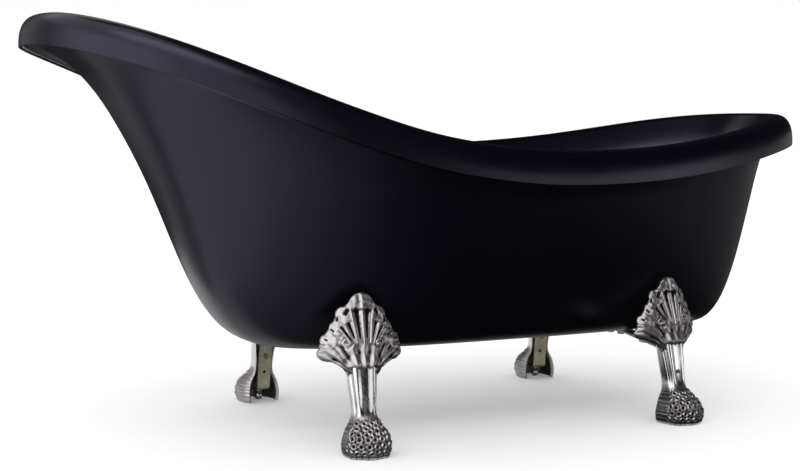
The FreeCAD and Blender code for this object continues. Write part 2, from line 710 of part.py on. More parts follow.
def waste_flange():
    """Chromed flange, its threaded tube and the bridge that holds the cartridge."""
    plate = cylinder(WASTE_FLANGE, FLANGE_THICKNESS, at_waste(SEAL_TOP))
    barrel = cylinder(WASTE_TUBE, SEAL_TOP - TUBE_END, at_waste(TUBE_END))
    shape = plate.fuse(barrel).cut(cylinder(WASTE_BORE, LENGTH, at_waste(0)))
    bridge_z = SEAL_TOP - CARTRIDGE_LENGTH / 2
    for turned in (0, 90):
        arm = Part.makeBox(2 * (WASTE_TUBE - BRIDGE_SINK), BRIDGE_WIDTH, BRIDGE_THICKNESS,
                           at_waste(bridge_z) + V(BRIDGE_SINK - WASTE_TUBE, -BRIDGE_WIDTH / 2, 0))
        arm.rotate(at_waste(0), UP, turned)
        shape = shape.fuse(arm)
    hub = cylinder(CARTRIDGE_RADIUS + HUB_WALL, BRIDGE_THICKNESS, at_waste(bridge_z))
    bore = cylinder(CARTRIDGE_RADIUS + THREAD_FIT, LENGTH, at_waste(0))
    window = cylinder(PIPE_BORE, WASTE_FLANGE, at_waste(HOSE_Z), V(1, 0, 0))
    shape = shape.fuse(hub).cut([bore, window]).removeSplitter()
    top_edges = [e for e in shape.Edges if abs(e.BoundBox.ZMin - FLANGE_TOP) < 1e-6
                 and abs(e.BoundBox.XLength - 2 * WASTE_FLANGE) < 0.1]
    return shape.makeFillet(FLANGE_ROUND, top_edges)


def plug_cartridge():
    low = SEAL_TOP - CARTRIDGE_LENGTH
    body = cylinder(CARTRIDGE_RADIUS, CARTRIDGE_LENGTH, at_waste(low))
    return body.cut(cylinder(STEM_RADIUS + RUNNING_FIT, CARTRIDGE_LENGTH, at_waste(low)))


PLUG_BASE = FLANGE_TOP + 2 * PLUG_SEAL_RADIUS + SEAT


def waste_plug():
    """Domed cap of the click-clack plug."""
    cap = cylinder(PLUG_RADIUS, PLUG_EDGE + PLUG_DOME, at_waste(PLUG_BASE))
    dome_radius = (PLUG_RADIUS**2 + PLUG_DOME**2) / (2 * PLUG_DOME)
    ball = Part.makeSphere(dome_radius, at_waste(PLUG_BASE + PLUG_EDGE + PLUG_DOME - dome_radius))
    return cap.common(ball)


def plug_stem():
    return cylinder(STEM_RADIUS, STEM_LENGTH, at_waste(PLUG_BASE - STEM_LENGTH))


def plug_seal():
    centre = PLUG_BASE - PLUG_SEAL_RADIUS
    return Part.makeTorus(WASTE_BORE + PLUG_SEAL_OUT, PLUG_SEAL_RADIUS, at_waste(centre))


def waste_body():
    """Body under the well, with its hose inlet and its threaded tail."""
    plate = cylinder(BODY_FLANGE, BODY_FLANGE_THICKNESS, at_waste(BODY_TOP - BODY_FLANGE_THICKNESS))
    barrel = cylinder(BODY_RADIUS, BODY_DEPTH, at_waste(BODY_END))
    tail = cylinder(TAIL_RADIUS, TAIL_LENGTH, at_waste(BODY_END - TAIL_LENGTH))
    reach = BODY_FLANGE + SEAT + HOSE_OVERLAP
    inlet = cylinder(HOSE_BORE - THREAD_FIT, reach, at_waste(HOSE_Z), V(1, 0, 0))
    shape = plate.fuse([barrel, tail, inlet])
    bores = [cylinder(WASTE_TUBE + THREAD_FIT, BODY_TOP - TUBE_END, at_waste(TUBE_END)),
             cylinder(WASTE_BORE, LENGTH, at_waste(0)),
             cylinder(PIPE_BORE, reach, at_waste(HOSE_Z), V(1, 0, 0))]
    return shape.cut(bores).removeSplitter()


# Overflow, on the drain end's centreline, along the wall's own normal

RIB_STEP = 1e-4
OVERFLOW_SPAN = 0.06         # share of the rib, each way, that the overflow lies square to


def end_rib(t, share):
    """Point of the drain end's rib, from the hull's face (0) to the well's face (1)."""
    step = wall_point(0.0, t) - wall_point(0.0, t - RIB_STEP)
    inward = V(0, 1, 0).cross(step).normalize()
    return wall_point(0.0, t) + inward * (well_inset(0.0, t) * share)


def overflow_seat():
    """Centre of the overflow on the well's face, and the axis out of the water."""
    low, high = 0.0, 1.0
    while high - low > RIB_STEP:
        t = (low + high) / 2
        low, high = (t, high) if end_rib(t, 1).z > OVERFLOW_Z else (low, t)
    step = end_rib(low + OVERFLOW_SPAN, 1) - end_rib(low - OVERFLOW_SPAN, 1)
    return end_rib(low, 1), step.cross(V(0, 1, 0)).normalize()


def overflow_seal(shell):
    """Rubber ring on the wet side, shaped by the wall that it lies on."""
    spot, axis = overflow_seat()
    ring = tube(COVER_RADIUS - COVER_WALL, OVERFLOW_HOLE - SEAL_LAP, COVER_SEAL + INNER_SKIN / 2,
                spot - axis * COVER_SEAL, axis)
    pieces = ring.cut(shell).cut(cylinder(OVERFLOW_HOLE, 4 * COVER_SEAL, spot, axis)).Solids
    return max(pieces, key=lambda s: -(s.CenterOfMass - spot).dot(axis))


def overflow_back_seal(shell):
    spot, axis = overflow_seat()
    ring = tube(ELBOW_FLANGE, OVERFLOW_HOLE - SEAL_LAP, INNER_SKIN / 2 + BACK_SEAL,
                spot + axis * (INNER_SKIN / 2), axis)
    pieces = ring.cut(shell).cut(cylinder(OVERFLOW_HOLE, INNER_SKIN, spot - axis, axis)).Solids
    return max(pieces, key=lambda s: (s.CenterOfMass - spot).dot(axis))


def overflow_elbow():
    """Body behind the wall, with a spout down to the hose."""
    spot, axis = overflow_seat()
    start = spot + axis * (INNER_SKIN + BACK_SEAL)
    plate = cylinder(ELBOW_FLANGE, ELBOW_FLANGE_THICKNESS, start, axis)
    barrel = cylinder(ELBOW_RADIUS, ELBOW_DEPTH, start, axis)
    spout_at, down = spout()
    pipe = cylinder(HOSE_BORE - THREAD_FIT, ELBOW_RADIUS + SPOUT_LENGTH, spout_at, down)
    shape = plate.fuse([barrel, pipe])
    inside = cylinder(ELBOW_RADIUS - ELBOW_WALL, ELBOW_DEPTH - ELBOW_WALL, start, axis)
    way = cylinder(PIPE_BORE, ELBOW_RADIUS + SPOUT_LENGTH, spout_at, down)
    post = cylinder(POST_RADIUS, ELBOW_DEPTH - POST_SHORT, start, axis)
    hole = cylinder(OVERFLOW_SCREW + THREAD_FIT, ELBOW_DEPTH / 2, start, axis)
    return shape.cut([inside, way]).fuse(post).cut(hole).removeSplitter()


def spout():
    spot, axis = overflow_seat()
    middle = spot + axis * (INNER_SKIN + BACK_SEAL + ELBOW_DEPTH / 2)
    return middle, axis.cross(V(0, -1, 0))


def overflow_cover():
    """Round cover with a slot along its lower edge."""
    spot, axis = overflow_seat()
    rear = spot - axis * COVER_SEAL
    cap = cylinder(COVER_RADIUS, COVER_DEPTH, rear, axis * -1)
    rim = [e for e in cap.Edges if abs((e.CenterOfMass - rear).dot(axis) + COVER_DEPTH) < 1e-3
           and e.Length > COVER_RADIUS]
    cap = cap.makeFillet(COVER_ROUND, rim)
    inside = cylinder(COVER_RADIUS - COVER_WALL, COVER_DEPTH - COVER_WALL, rear, axis * -1)
    post = tube(POST_RADIUS, OVERFLOW_SCREW + THREAD_FIT, COVER_DEPTH - POST_SHORT, rear, axis * -1)
    hole = cylinder(OVERFLOW_SCREW + THREAD_FIT, 2 * COVER_DEPTH, rear, axis * -1)
    down = spout()[1]
    slot = cylinder(COVER_SLOT, COVER_RADIUS, rear - axis * (COVER_DEPTH / 2), down)
    return cap.cut(inside).fuse(post).cut([hole, slot]).removeSplitter()


def overflow_screw():
    spot, axis = overflow_seat()
    front = spot - axis * (COVER_SEAL + COVER_DEPTH)
    reach = COVER_DEPTH + COVER_SEAL + INNER_SKIN + BACK_SEAL + ELBOW_DEPTH / 2 - SEAT
    head = Part.makeCone(*OVERFLOW_SCREW_HEAD, front, axis * -1)
    shank = cylinder(OVERFLOW_SCREW, reach, front, axis)
    return head.fuse(shank).removeSplitter()


def hose_path():
    """Centreline between the skins: level out of the waste, then up to the spout."""
    first = at_waste(HOSE_Z) + V(BODY_FLANGE + SEAT, 0, 0)
    middle, down = spout()
    end = middle + down * (ELBOW_RADIUS + SPOUT_LENGTH - HOSE_OVERLAP)
    bends = [end_rib(t, 0.5) for t in HOSE_ROUTE]
    rise = bends[1] - bends[0]
    knee = bends[0] - rise * ((bends[0].z - HOSE_Z) / rise.z)
    points = [first, knee] + bends[1:] + [end + down * HOSE_LEAD, end]
    radii = []
    for before, corner, after in zip(points, points[1:], points[2:]):
        inward, outward = before - corner, after - corner
        bend = math.pi - inward.getAngle(outward)
        radii.append(HOSE_CORNER * min(inward.Length, outward.Length) / math.tan(bend / 2))
    return rounded_path(points, radii)


def overflow_hose():
    path = hose_path()
    start = path.Vertexes[0].Point
    around = [Part.Wire(Part.Circle(start, V(1, 0, 0), r).toShape()) for r in (HOSE_RADIUS, HOSE_BORE)]
    return sweep(path, around[0]).cut(sweep(path, around[1]))


def hose_clips():
    """A band on each end of the hose."""
    middle, down = spout()
    top = middle + down * (ELBOW_RADIUS + SPOUT_LENGTH - CLIP_WIDTH)
    low = at_waste(HOSE_Z) + V(BODY_FLANGE + SEAT + (HOSE_OVERLAP - CLIP_WIDTH) / 2, 0, 0)
    size = (HOSE_RADIUS + CLIP_THICKNESS, HOSE_RADIUS + THREAD_FIT, CLIP_WIDTH)
    return group([tube(*size, low, V(1, 0, 0)), tube(*size, top, down)])


# Export

def main():
    os.makedirs("parts", exist_ok=True)
    parts = {"inner_shell": inner_shell(), "outer_shell": outer_shell()}
    shell = parts["inner_shell"]
    parts["rim_bond"] = rim_bond()
    parts["base_board"] = base_board()
    casting, strap, pad, screw = claw_foot(), foot_strap(), hull_pad(), leveller()
    for foot in FEET:
        parts["claw_foot_" + foot] = place(foot, casting)
        parts["foot_strap_" + foot] = place(foot, strap)
        parts["hull_pad_" + foot] = place(foot, pad)
        parts["leveller_" + foot] = place(foot, screw)
    for name, maker in (("strap_bolts", strap_bolt), ("strap_washers", strap_washer),
                        ("board_inserts", board_insert)):
        parts[name] = group([place(foot, maker(reach)) for foot in FEET for reach in BOLT_REACH])
    parts["casting_screws"] = group([place(foot, casting_screw()) for foot in FEET])
    parts["leveller_nuts"] = group([place(foot, leveller_nut()) for foot in FEET])
    for maker in (flange_seal, body_seal, waste_flange, plug_cartridge, waste_plug, plug_stem,
                  plug_seal, waste_body, overflow_elbow, overflow_cover, overflow_screw,
                  overflow_hose, hose_clips):
        parts[maker.__name__] = maker()
    parts["overflow_seal"] = overflow_seal(shell)
    parts["overflow_back_seal"] = overflow_back_seal(shell)
    for name, shape in parts.items():
        shape.exportStep("parts/" + name + ".step")
        print(name, "solids", len(shape.Solids), "valid", shape.isValid(), "volume", round(shape.Volume))


main()
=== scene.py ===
# %% [markdown]
# # A clawfoot slipper bath, dressed for the camera
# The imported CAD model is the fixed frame: places are in its coordinates, in metres
# unless a cell says otherwise. X runs from the raised slipper end (-X) to the drain
# end (+X), the near side is -Y and the feet stand on Z = 0. Parts that the CAD model
# draws well only get a finish. The glossy skins and the cast feet are drawn again as
# surfaces worked out with numpy, because the eye rests on their curves and relief.

# %% Load the frame
import math
from types import SimpleNamespace

import bmesh
import bpy
import numpy as np
from mathutils import Matrix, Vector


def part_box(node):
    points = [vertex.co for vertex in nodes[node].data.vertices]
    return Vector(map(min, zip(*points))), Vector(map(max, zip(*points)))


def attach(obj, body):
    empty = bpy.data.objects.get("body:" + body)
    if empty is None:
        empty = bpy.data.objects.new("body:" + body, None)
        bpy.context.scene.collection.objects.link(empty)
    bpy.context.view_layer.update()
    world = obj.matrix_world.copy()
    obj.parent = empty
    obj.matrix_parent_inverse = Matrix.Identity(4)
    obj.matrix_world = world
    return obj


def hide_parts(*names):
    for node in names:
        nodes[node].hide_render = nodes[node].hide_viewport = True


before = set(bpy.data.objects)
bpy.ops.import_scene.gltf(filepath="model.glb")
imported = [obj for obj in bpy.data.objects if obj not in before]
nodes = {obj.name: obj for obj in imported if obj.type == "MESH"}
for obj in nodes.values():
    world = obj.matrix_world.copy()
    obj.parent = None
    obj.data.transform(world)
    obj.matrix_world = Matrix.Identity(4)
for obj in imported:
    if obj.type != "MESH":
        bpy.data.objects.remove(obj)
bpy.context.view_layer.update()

# %% [markdown]
# ## Camera
# A camera is a place, a direction and a focal length. These were fitted to the
# bath's outline in the photograph: it stands in front of the slipper end, a little
# above mid-height, and looks slightly down.

# %% Camera
CAMERA_AT = (-1.40015, -2.6226, 0.62256)
CAMERA_YAW, CAMERA_PITCH, CAMERA_ROLL = -26.47, -4.85, 0.51  # degrees
CAMERA_LENS, CAMERA_SENSOR = 64.84, 36.0  # millimetres
CAMERA_SIGHT = 60.0  # metres


def standing(side, top, back, at):
    """Matrix of an object at a point, with its own X, Y and Z along three unit vectors."""
    return Matrix([[side[i], top[i], back[i], at[i]] for i in range(3)] + [[0, 0, 0, 1]])


yaw, pitch, roll = (math.radians(a) for a in (CAMERA_YAW, CAMERA_PITCH, CAMERA_ROLL))
ahead = np.array([-math.sin(yaw) * math.cos(pitch), math.cos(yaw) * math.cos(pitch), math.sin(pitch)])
right = np.array([math.cos(yaw), math.sin(yaw), 0.0])
above = np.cross(right, ahead)
turned_right = math.cos(roll) * right + math.sin(roll) * above
turned_above = math.cos(roll) * above - math.sin(roll) * right
camera = bpy.data.objects.new("camera", bpy.data.cameras.new("camera"))
camera.data.lens = CAMERA_LENS
camera.data.sensor_width = CAMERA_SENSOR
camera.data.clip_end = CAMERA_SIGHT
camera.matrix_world = standing(turned_right, turned_above, -ahead, CAMERA_AT)
bpy.context.scene.collection.objects.link(camera)
bpy.context.scene.camera = camera
print("camera at", CAMERA_AT, "lens", CAMERA_LENS, "mm")

# %% [markdown]
# ## Helpers
# A grid of points becomes a mesh by joining neighbours into four-sided faces. All
# the faces are listed at once from arrays of numbers.

# %% Mesh helpers
def grid_faces(rows, columns, closed=True, start=0):
    """Quads over a grid of rows x columns points, numbered row by row from start.

    Point r, c is number r * columns + c; closed joins the last column to the first.
    """
    r = np.arange(rows - 1)[:, None]
    c = np.arange(columns if closed else columns - 1)[None, :]
    after = (c + 1) % columns
    corners = [r * columns + c, r * columns + after, (r + 1) * columns + after, (r + 1) * columns + c]
    return np.stack(corners, -1).reshape(-1, 4) + start


def fan_faces(ring, pole):
    """Triangles from a closed ring of point numbers to one pole."""
    return np.stack([ring, np.roll(ring, -1), np.full_like(ring, pole)], -1)


def add_mesh(name, points, faces, sharp=None, attributes=None):
    """Mesh object at the origin from an array of points and a list of face arrays."""
    mesh = bpy.data.meshes.new(name)
    listed = [face.tolist() for part in faces for face in part]
    mesh.from_pydata(np.asarray(points, float).reshape(-1, 3), [], listed)
    mesh.shade_smooth()
    if sharp:
        mesh.set_sharp_from_angle(angle=math.radians(sharp))
    for label, values in (attributes or {}).items():
        layer = mesh.attributes.new(label, "FLOAT", "POINT")
        layer.data.foreach_set("value", np.asarray(values, np.float32).ravel())
    mesh.update()
    piece = bpy.data.objects.new(name, mesh)
    bpy.context.scene.collection.objects.link(piece)
    return piece

# %% [markdown]
# Curves come from two kinds of cubic spline. A B-spline leans towards its control
# values and never overshoots, as the rim's sweep needs. A natural spline goes through
# every value that it is given.

# %% Curve helpers
def smooth(x):
    """Smooth step from 0 to 1: 3x^2 - 2x^3 of x kept between 0 and 1."""
    x = np.clip(x, 0.0, 1.0)
    return x * x * (3 - 2 * x)


def rises(value, start, over):
    """Smooth step from 0 at start to 1 after a distance."""
    return smooth((value - start) / over)


def falls(value, end, over):
    """Smooth step from 1 at a distance before end to 0 at end."""
    return smooth((end - value) / over)


def power(x, exponent):
    """|x| to a power, with the sign of x."""
    return np.sign(x) * np.abs(x) ** exponent


def bspline_weights(f):
    """Six times the shares of four neighbours at place f of a uniform cubic B-spline's span."""
    return (1 - f)**3, 3 * f**3 - 6 * f**2 + 4, -3 * f**3 + 3 * f**2 + 3 * f + 1, f**3


def bends(gap, values):
    """Second derivatives of a natural cubic spline at its knots, from one linear system."""
    n = len(values)
    matrix, side = np.eye(n), np.zeros_like(values)
    for i in range(1, n - 1):
        matrix[i, i - 1:i + 2] = gap[i - 1], 2 * (gap[i - 1] + gap[i]), gap[i]
        side[i] = 6 * ((values[i + 1] - values[i]) / gap[i] - (values[i] - values[i - 1]) / gap[i - 1])
    return np.linalg.solve(matrix, side.reshape(n, -1)).reshape(values.shape)


def between(values, bend, i, b, gap):
    """Natural spline at share b after knot i, where v is a value, m its bend and a = 1 - b.

    a v(i) + b v(i+1) + gap^2 / 6 ((a^3 - a) m(i) + (b^3 - b) m(i+1))
    """
    a = 1 - b
    return a * values[i] + b * values[i + 1] + gap**2 / 6 * ((a**3 - a) * bend[i] + (b**3 - b) * bend[i + 1])


def through(table, x):
    """Natural cubic spline through a table whose first column is x, at any x."""
    table = np.asarray(table, float)
    knots, values = table[:, 0], table[:, 1:]
    gap = np.diff(knots)
    i = np.clip(np.searchsorted(knots, x) - 1, 0, len(knots) - 2)
    return between(values, bends(gap, values), i, ((x - knots[i]) / gap[i])[..., None], gap[i][..., None])


print("smooth step at three quarters", smooth(0.75))

# %% [markdown]
# ## The two skins
# The bath is a vacuum-formed well with a rolled rim, and an outer hull tucked under
# the rim's lip. Seen from above both are the same squared oval, so one function
# gives a point of the rim's edge at any angle, and another carries that point down
# the wall. Splines through the same sections as the CAD model keep the highlights
# free of facets.

# %% Sizes of the skins, as in the CAD model
LENGTH, WIDTH, RIM_SHIFT = 1.700, 0.740, 0.008
SQUARE_HEAD, SQUARE_DRAIN, SQUARE_BOTTOM = 2.45, 2.24, 2.77
RIM_SWEEP = np.array([0.809, 0.8175, 0.692, 0.565, 0.5485, 0.5785, 0.648, 0.6085])
CREST_REACH, CREST_FULLNESS, INNER_ROLL = 0.039, 2.55, 0.020
LIP_HEIGHT, LIP_SLIM_HEAD, LIP_TUCK, LIP_REVEAL = 0.0635, 0.007, 0.059, 0.003
FLANGE_FILLET, BOND_WIDTH = 0.018, 0.0026
HULL_BOTTOM, BOTTOM_SHIFT, BOTTOM_HALF_WIDTH = 0.172, 0.012, 0.150
BOTTOM_HEAD, BOTTOM_DRAIN = 0.401, 0.617
INNER_SKIN, OUTER_SKIN, WELL_FLOOR, WELL_INSET = 0.006, 0.005, 0.2086, 0.046
# Each of these differs at the head end, the drain end and the sides
ROLL_SWEEP = (40.0, 52.0, 63.0)  # degrees
WALL_LEAN = (0.224, 0.042, 0.030)
WALL_DROP = (0.156, 0.128, 0.153)
BILGE_REACH = (0.184, 0.087, 0.078)
INSET_TOP = (0.038, 0.038, 0.025)
STATIONS, PER_STATION, PER_ROW = 48, 7, 4  # points round and down the skins
CREST_STEPS = (0.0, 12.0, 24.0, 36.0, 48.0, 60.0, 70.0, 80.0, 90.0)  # degrees
QUARTERS = (0.25, 0.5, 0.75)
WALL_STEPS = np.array([0.0, 0.1, 0.22, 0.35, 0.48, 0.6, 0.7, 0.78, 0.85, 0.91, 0.96, 1.0])
# Share of a rib by which the well's inset is full, and from which it turns to the floor
INSET_FULL, FLOOR_TURN = 0.6, 0.5
UP = np.array([0.0, 0.0, 1.0])
print("bath", LENGTH, "x", WIDTH, "m")

# %% Points of the rim and the wall
def rim_height(x):
    """Height of the rim: a uniform cubic B-spline through control heights a fifth of the length apart."""
    along = (x + LENGTH / 2) / (LENGTH / 5)
    span = np.clip(along.astype(int), 0, 4)
    return sum(w * RIM_SWEEP[span + k] for k, w in enumerate(bspline_weights(along - span))) / 6


angle = np.arange(STATIONS) * (2 * math.pi / STATIONS)
c, s = np.cos(angle), np.sin(angle)
head, drain = np.clip(-c, 0, None)**2, np.clip(c, 0, None)**2
square = np.where(c < 0, SQUARE_HEAD, SQUARE_DRAIN)
reach = LENGTH / 2 + np.where(c < 0, RIM_SHIFT, -RIM_SHIFT)
edge_x = RIM_SHIFT + reach * power(c, 2 / square)
edge = np.stack([edge_x, WIDTH / 2 * power(s, 2 / square), rim_height(edge_x)], -1)
outward = np.stack([power(c, 2 - 2 / square) / reach, power(s, 2 - 2 / square) / (WIDTH / 2), 0 * c], -1)
outward /= np.linalg.norm(outward, axis=1, keepdims=True)
lip_height = LIP_HEIGHT - LIP_SLIM_HEAD * np.clip(-c, 0, None)**4


def blend(sizes):
    """One of the sizes that differ at the two ends and the sides, for every station."""
    return sizes[0] * head + sizes[1] * drain + sizes[2] * (1 - head - drain)


def rim_row(out, up):
    """Row of points at a distance out from the rim's edge and up from its crest."""
    return edge + outward * np.reshape(out, (-1, 1)) + UP * np.reshape(up, (-1, 1))


def wall_row(t):
    """Row at share t of each rib, a cubic curve from under the lip to the level bottom."""
    long = np.where(c < 0, BOTTOM_HEAD, BOTTOM_DRAIN)
    top = rim_row(-LIP_TUCK, -lip_height)
    bottom = np.stack([BOTTOM_SHIFT + long * power(c, 2 / SQUARE_BOTTOM),
                       BOTTOM_HALF_WIDTH * power(s, 2 / SQUARE_BOTTOM), HULL_BOTTOM + 0 * c], -1)
    high = top - outward * blend(WALL_LEAN)[:, None] - UP * blend(WALL_DROP)[:, None]
    low = bottom + outward * blend(BILGE_REACH)[:, None]
    return top * (1 - t)**3 + 3 * high * t * (1 - t)**2 + 3 * low * t * t * (1 - t) + bottom * t**3


def offset(rows, distance):
    """Rows moved along the surface's own normal; the last, level row moves straight up."""
    rows = np.asarray(rows)
    padded = np.concatenate([rows[:1], rows, rows[-1:]])
    around = np.roll(rows, -1, 1) - np.roll(rows, 1, 1)
    normal = np.cross(around, padded[2:] - padded[:-2])
    normal /= np.linalg.norm(normal, axis=2, keepdims=True)
    normal[-1] = UP
    return rows + normal * np.asarray(distance)[..., None]


print("rim", edge[:, 2].min().round(4), "to", edge[:, 2].max().round(4), "m high")

# %% [markdown]
# The sections are few, so a smooth skin needs curves between them. Round the bath
# a closed uniform cubic B-spline is fitted through the 48 stations; down the bath a
# natural cubic spline runs through the rows.

# %% Smooth skin through the rows
def round_spline(rows, steps):
    """Closed uniform cubic B-spline through each row, sampled in equal steps between its points."""
    poles = rows.copy()
    for _ in range(12):
        fitted = (np.roll(poles, 1, 1) + 4 * poles + np.roll(poles, -1, 1)) / 6
        poles = poles + rows - fitted
    weights = bspline_weights((np.arange(steps) / steps)[:, None])
    curve = sum(w * np.roll(poles, 1 - k, 1)[:, :, None, :] for k, w in enumerate(weights)) / 6
    return curve.reshape(len(rows), -1, 3)


def down_spline(rows, steps):
    """Natural cubic spline through the rows, spaced by their mean distance, in equal steps between rows."""
    gap = np.linalg.norm(np.diff(rows, axis=0), axis=2).mean(1)
    bend = bends(gap, rows)
    share = (np.arange(steps) / steps)[:, None, None]
    pieces = [between(rows, bend, i, share, gap[i]) for i in range(len(gap))]
    return np.concatenate(pieces + [rows[-1:]])


def skin(rows, wall=0.0):
    """Both splines through the rows, which are first moved along their normals by a wall's thickness."""
    moved = offset(rows, np.full((len(rows), 1), wall)) if wall else np.asarray(rows)
    return down_spline(round_spline(moved, PER_STATION), PER_ROW)


def floor_rings(ring, count=9):
    """Rings that shrink from the last row towards the middle of the level floor."""
    middle = ring.mean(0)
    share = (1 - np.arange(1, count) / count)[:, None, None]
    return middle + (ring - middle) * share, middle


def shell_mesh(name, face, back, sharp):
    """Closed sheet between a face and a back that share their first edge, each closed by a level floor."""
    columns = face.shape[1]
    sheets, faces, start = [], [], 0
    for side, order in ((face, 1), (back, -1)):
        rings, middle = floor_rings(side[-1])
        sheet = np.concatenate([side, rings]).reshape(-1, 3)
        pole = start + len(sheet)
        quads = grid_faces(len(sheet) // columns, columns, True, start)
        faces += [quads[:, ::order], fan_faces(np.arange(pole - columns, pole), pole)[:, ::order]]
        sheets += [sheet, middle[None]]
        start = pole + 1
    a = np.arange(columns)
    b = a + len(sheets[0]) + 1
    joint = np.stack([a, b, np.roll(b, -1), np.roll(a, -1)], -1)
    return add_mesh(name, np.concatenate(sheets), faces + [joint], sharp)

# %% Rows of the well, its rim and the hull
def rim_rows():
    """Lip's edge, up its squared outer face, over the crest and down the inner roll."""
    rows = []
    for a in np.radians(CREST_STEPS):
        rise = math.sin(a)**(2 / CREST_FULLNESS)
        out = -CREST_REACH * (1 - max(math.cos(a), 0.0)**(2 / CREST_FULLNESS))
        rows.append(rim_row(out, -lip_height * (1 - rise)))
    for share in (*QUARTERS, 1.0):
        a = np.radians(blend(ROLL_SWEEP)) * share
        rows.append(rim_row(-CREST_REACH - INNER_ROLL * np.sin(a), INNER_ROLL * (np.cos(a) - 1)))
    return rows


def well_rows():
    """The hull's wall moved inwards by an inset that grows down each rib."""
    top = blend(INSET_TOP)
    t = WALL_STEPS[:, None]
    inset = top + (WELL_INSET - top) * (1 - np.clip(1 - t / INSET_FULL, 0, None)**2)
    inset = inset + (WELL_FLOOR - HULL_BOTTOM - WELL_INSET) * smooth((t - FLOOR_TURN) / (1 - FLOOR_TURN))
    return list(offset([wall_row(t) for t in WALL_STEPS], inset))


def hull_rows():
    """Flange under the lip, its fillet, and the wall."""
    under_lip = LIP_REVEAL - lip_height
    edge_out, fillet_out = -(INNER_SKIN + BOND_WIDTH), FLANGE_FILLET - LIP_TUCK
    rows = [rim_row(out, under_lip) for out in (edge_out, (edge_out + fillet_out) / 2, fillet_out)]
    start, corner, end = rows[-1], rim_row(-LIP_TUCK, under_lip), wall_row(WALL_STEPS[1])
    rows += [start * (1 - f)**2 + corner * (2 * f * (1 - f)) + end * f**2 for f in QUARTERS]
    return rows + [wall_row(t) for t in WALL_STEPS[1:]]


well_face_rows, hull_face_rows = rim_rows() + well_rows(), hull_rows()
print("rows", len(well_face_rows), "and", len(hull_face_rows))

# %% [markdown]
# Holes are drilled with a Boolean: the sheet minus a plain round bar. The result is
# baked back into the mesh, so no modifier is left live on the piece.

# %% Drill holes
WELD = 2e-6  # metres within which the cut's points are merged


def bar(at, axis, radius, length, sides=64):
    """Points and faces of a closed round bar centred on a point: two circles, joined and capped."""
    axis = np.asarray(axis, float) / np.linalg.norm(axis)
    across = np.cross(axis, (0.0, 1.0, 0.0) if abs(axis[1]) < 0.9 else (1.0, 0.0, 0.0))
    across /= np.linalg.norm(across)
    other = np.cross(axis, across)
    a = np.arange(sides) * (2 * math.pi / sides)
    circle = radius * (np.cos(a)[:, None] * across + np.sin(a)[:, None] * other)
    ends = [np.asarray(at) + circle + axis * (length * side) for side in (-0.5, 0.5)]
    caps = [np.arange(sides)[::-1][None], (np.arange(sides) + sides)[None]]
    return np.concatenate(ends), [grid_faces(2, sides)] + caps


def drill(piece, holes, sharp):
    """Subtracts bars, given as (at, axis, radius, length), and bakes the result into the mesh."""
    for hole in holes:
        tool = add_mesh("bar", *bar(*hole))
        cut = piece.modifiers.new("hole", "BOOLEAN")
        cut.operation, cut.solver, cut.object = "DIFFERENCE", "EXACT", tool
        baked = bpy.data.meshes.new_from_object(piece.evaluated_get(bpy.context.evaluated_depsgraph_get()))
        piece.modifiers.clear()
        sheet = bmesh.new()
        sheet.from_mesh(baked)
        bmesh.ops.remove_doubles(sheet, verts=sheet.verts, dist=WELD)
        bmesh.ops.dissolve_degenerate(sheet, edges=sheet.edges, dist=WELD)
        print(piece.name, "open edges", sum(not e.is_manifold for e in sheet.edges))
        sheet.to_mesh(baked)
        sheet.free()
        old, piece.data = piece.data, baked
        bpy.data.meshes.remove(old)
        bpy.data.objects.remove(tool)
    piece.data.set_sharp_from_angle(angle=math.radians(sharp))
    return piece

# %% Make the two skins
WASTE_X, WASTE_HOLE, ACCESS_RADIUS, OVERFLOW_HOLE = 0.535, 0.026, 0.052, 0.026
OVERFLOW_AT, OVERFLOW_AXIS = (0.72763, 0.0, 0.49501), (0.96116, 0.0, -0.27599)
FLOOR_DRILL, END_DRILL = 0.03, 0.06  # lengths of the bars, longer than the skins are thick
SHARP = 38.0  # degrees from which an edge shades sharp

well = shell_mesh("bath_well", skin(well_face_rows), skin(well_face_rows, -INNER_SKIN), SHARP)
drill(well, [((WASTE_X, 0, WELL_FLOOR), UP, WASTE_HOLE, FLOOR_DRILL),
             (OVERFLOW_AT, OVERFLOW_AXIS, OVERFLOW_HOLE, END_DRILL)], SHARP)
hull = shell_mesh("bath_hull", skin(hull_face_rows), skin(hull_face_rows, OUTER_SKIN), SHARP)
drill(hull, [((WASTE_X, 0, HULL_BOTTOM), UP, ACCESS_RADIUS, FLOOR_DRILL)], SHARP)
for piece, node in ((well, "inner_shell"), (hull, "outer_shell")):
    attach(piece, "bath")
    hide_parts(node)
    cad = [[round(v, 4) for v in corner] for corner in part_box(node)]
    print(piece.name, "faces", len(piece.data.polygons), "CAD box", cad)

# %% [markdown]
# ## The claw feet
# Each foot is one hollow casting: a lion's paw, a fluted leg and an acanthus crest
# that sweeps back along the hull. The main form follows the CAD casting. The
# founder's relief is added to it as heights along the surface's normal: curls of
# fur on the paw, flutes down the leg, and the ribs, pits and rolled edges of the
# leaf. All the sizes in these cells are millimetres in the foot's own frame, toes
# towards -Y, and the points are scaled and turned into place at the end.

# %% Relief helpers
def grid_normals(points):
    """Unit normals of a grid of points, from its differences along rows and columns."""
    normal = np.cross(np.gradient(points, axis=1), np.gradient(points, axis=0))
    return normal / np.maximum(np.linalg.norm(normal, axis=2, keepdims=True), 1e-9)


def stroke(x, z, start, end, wide_start, wide_end):
    """1 on the line from start to end, falling smoothly to 0 at a half width that changes along it."""
    start, end = np.asarray(start, float), np.asarray(end, float)
    run = end - start
    share = np.clip(((x - start[0]) * run[0] + (z - start[1]) * run[1]) / max(run @ run, 1e-9), 0, 1)
    away = np.hypot(x - start[0] - share * run[0], z - start[1] - share * run[1])
    return smooth(1 - away / (wide_start + (wide_end - wide_start) * share))


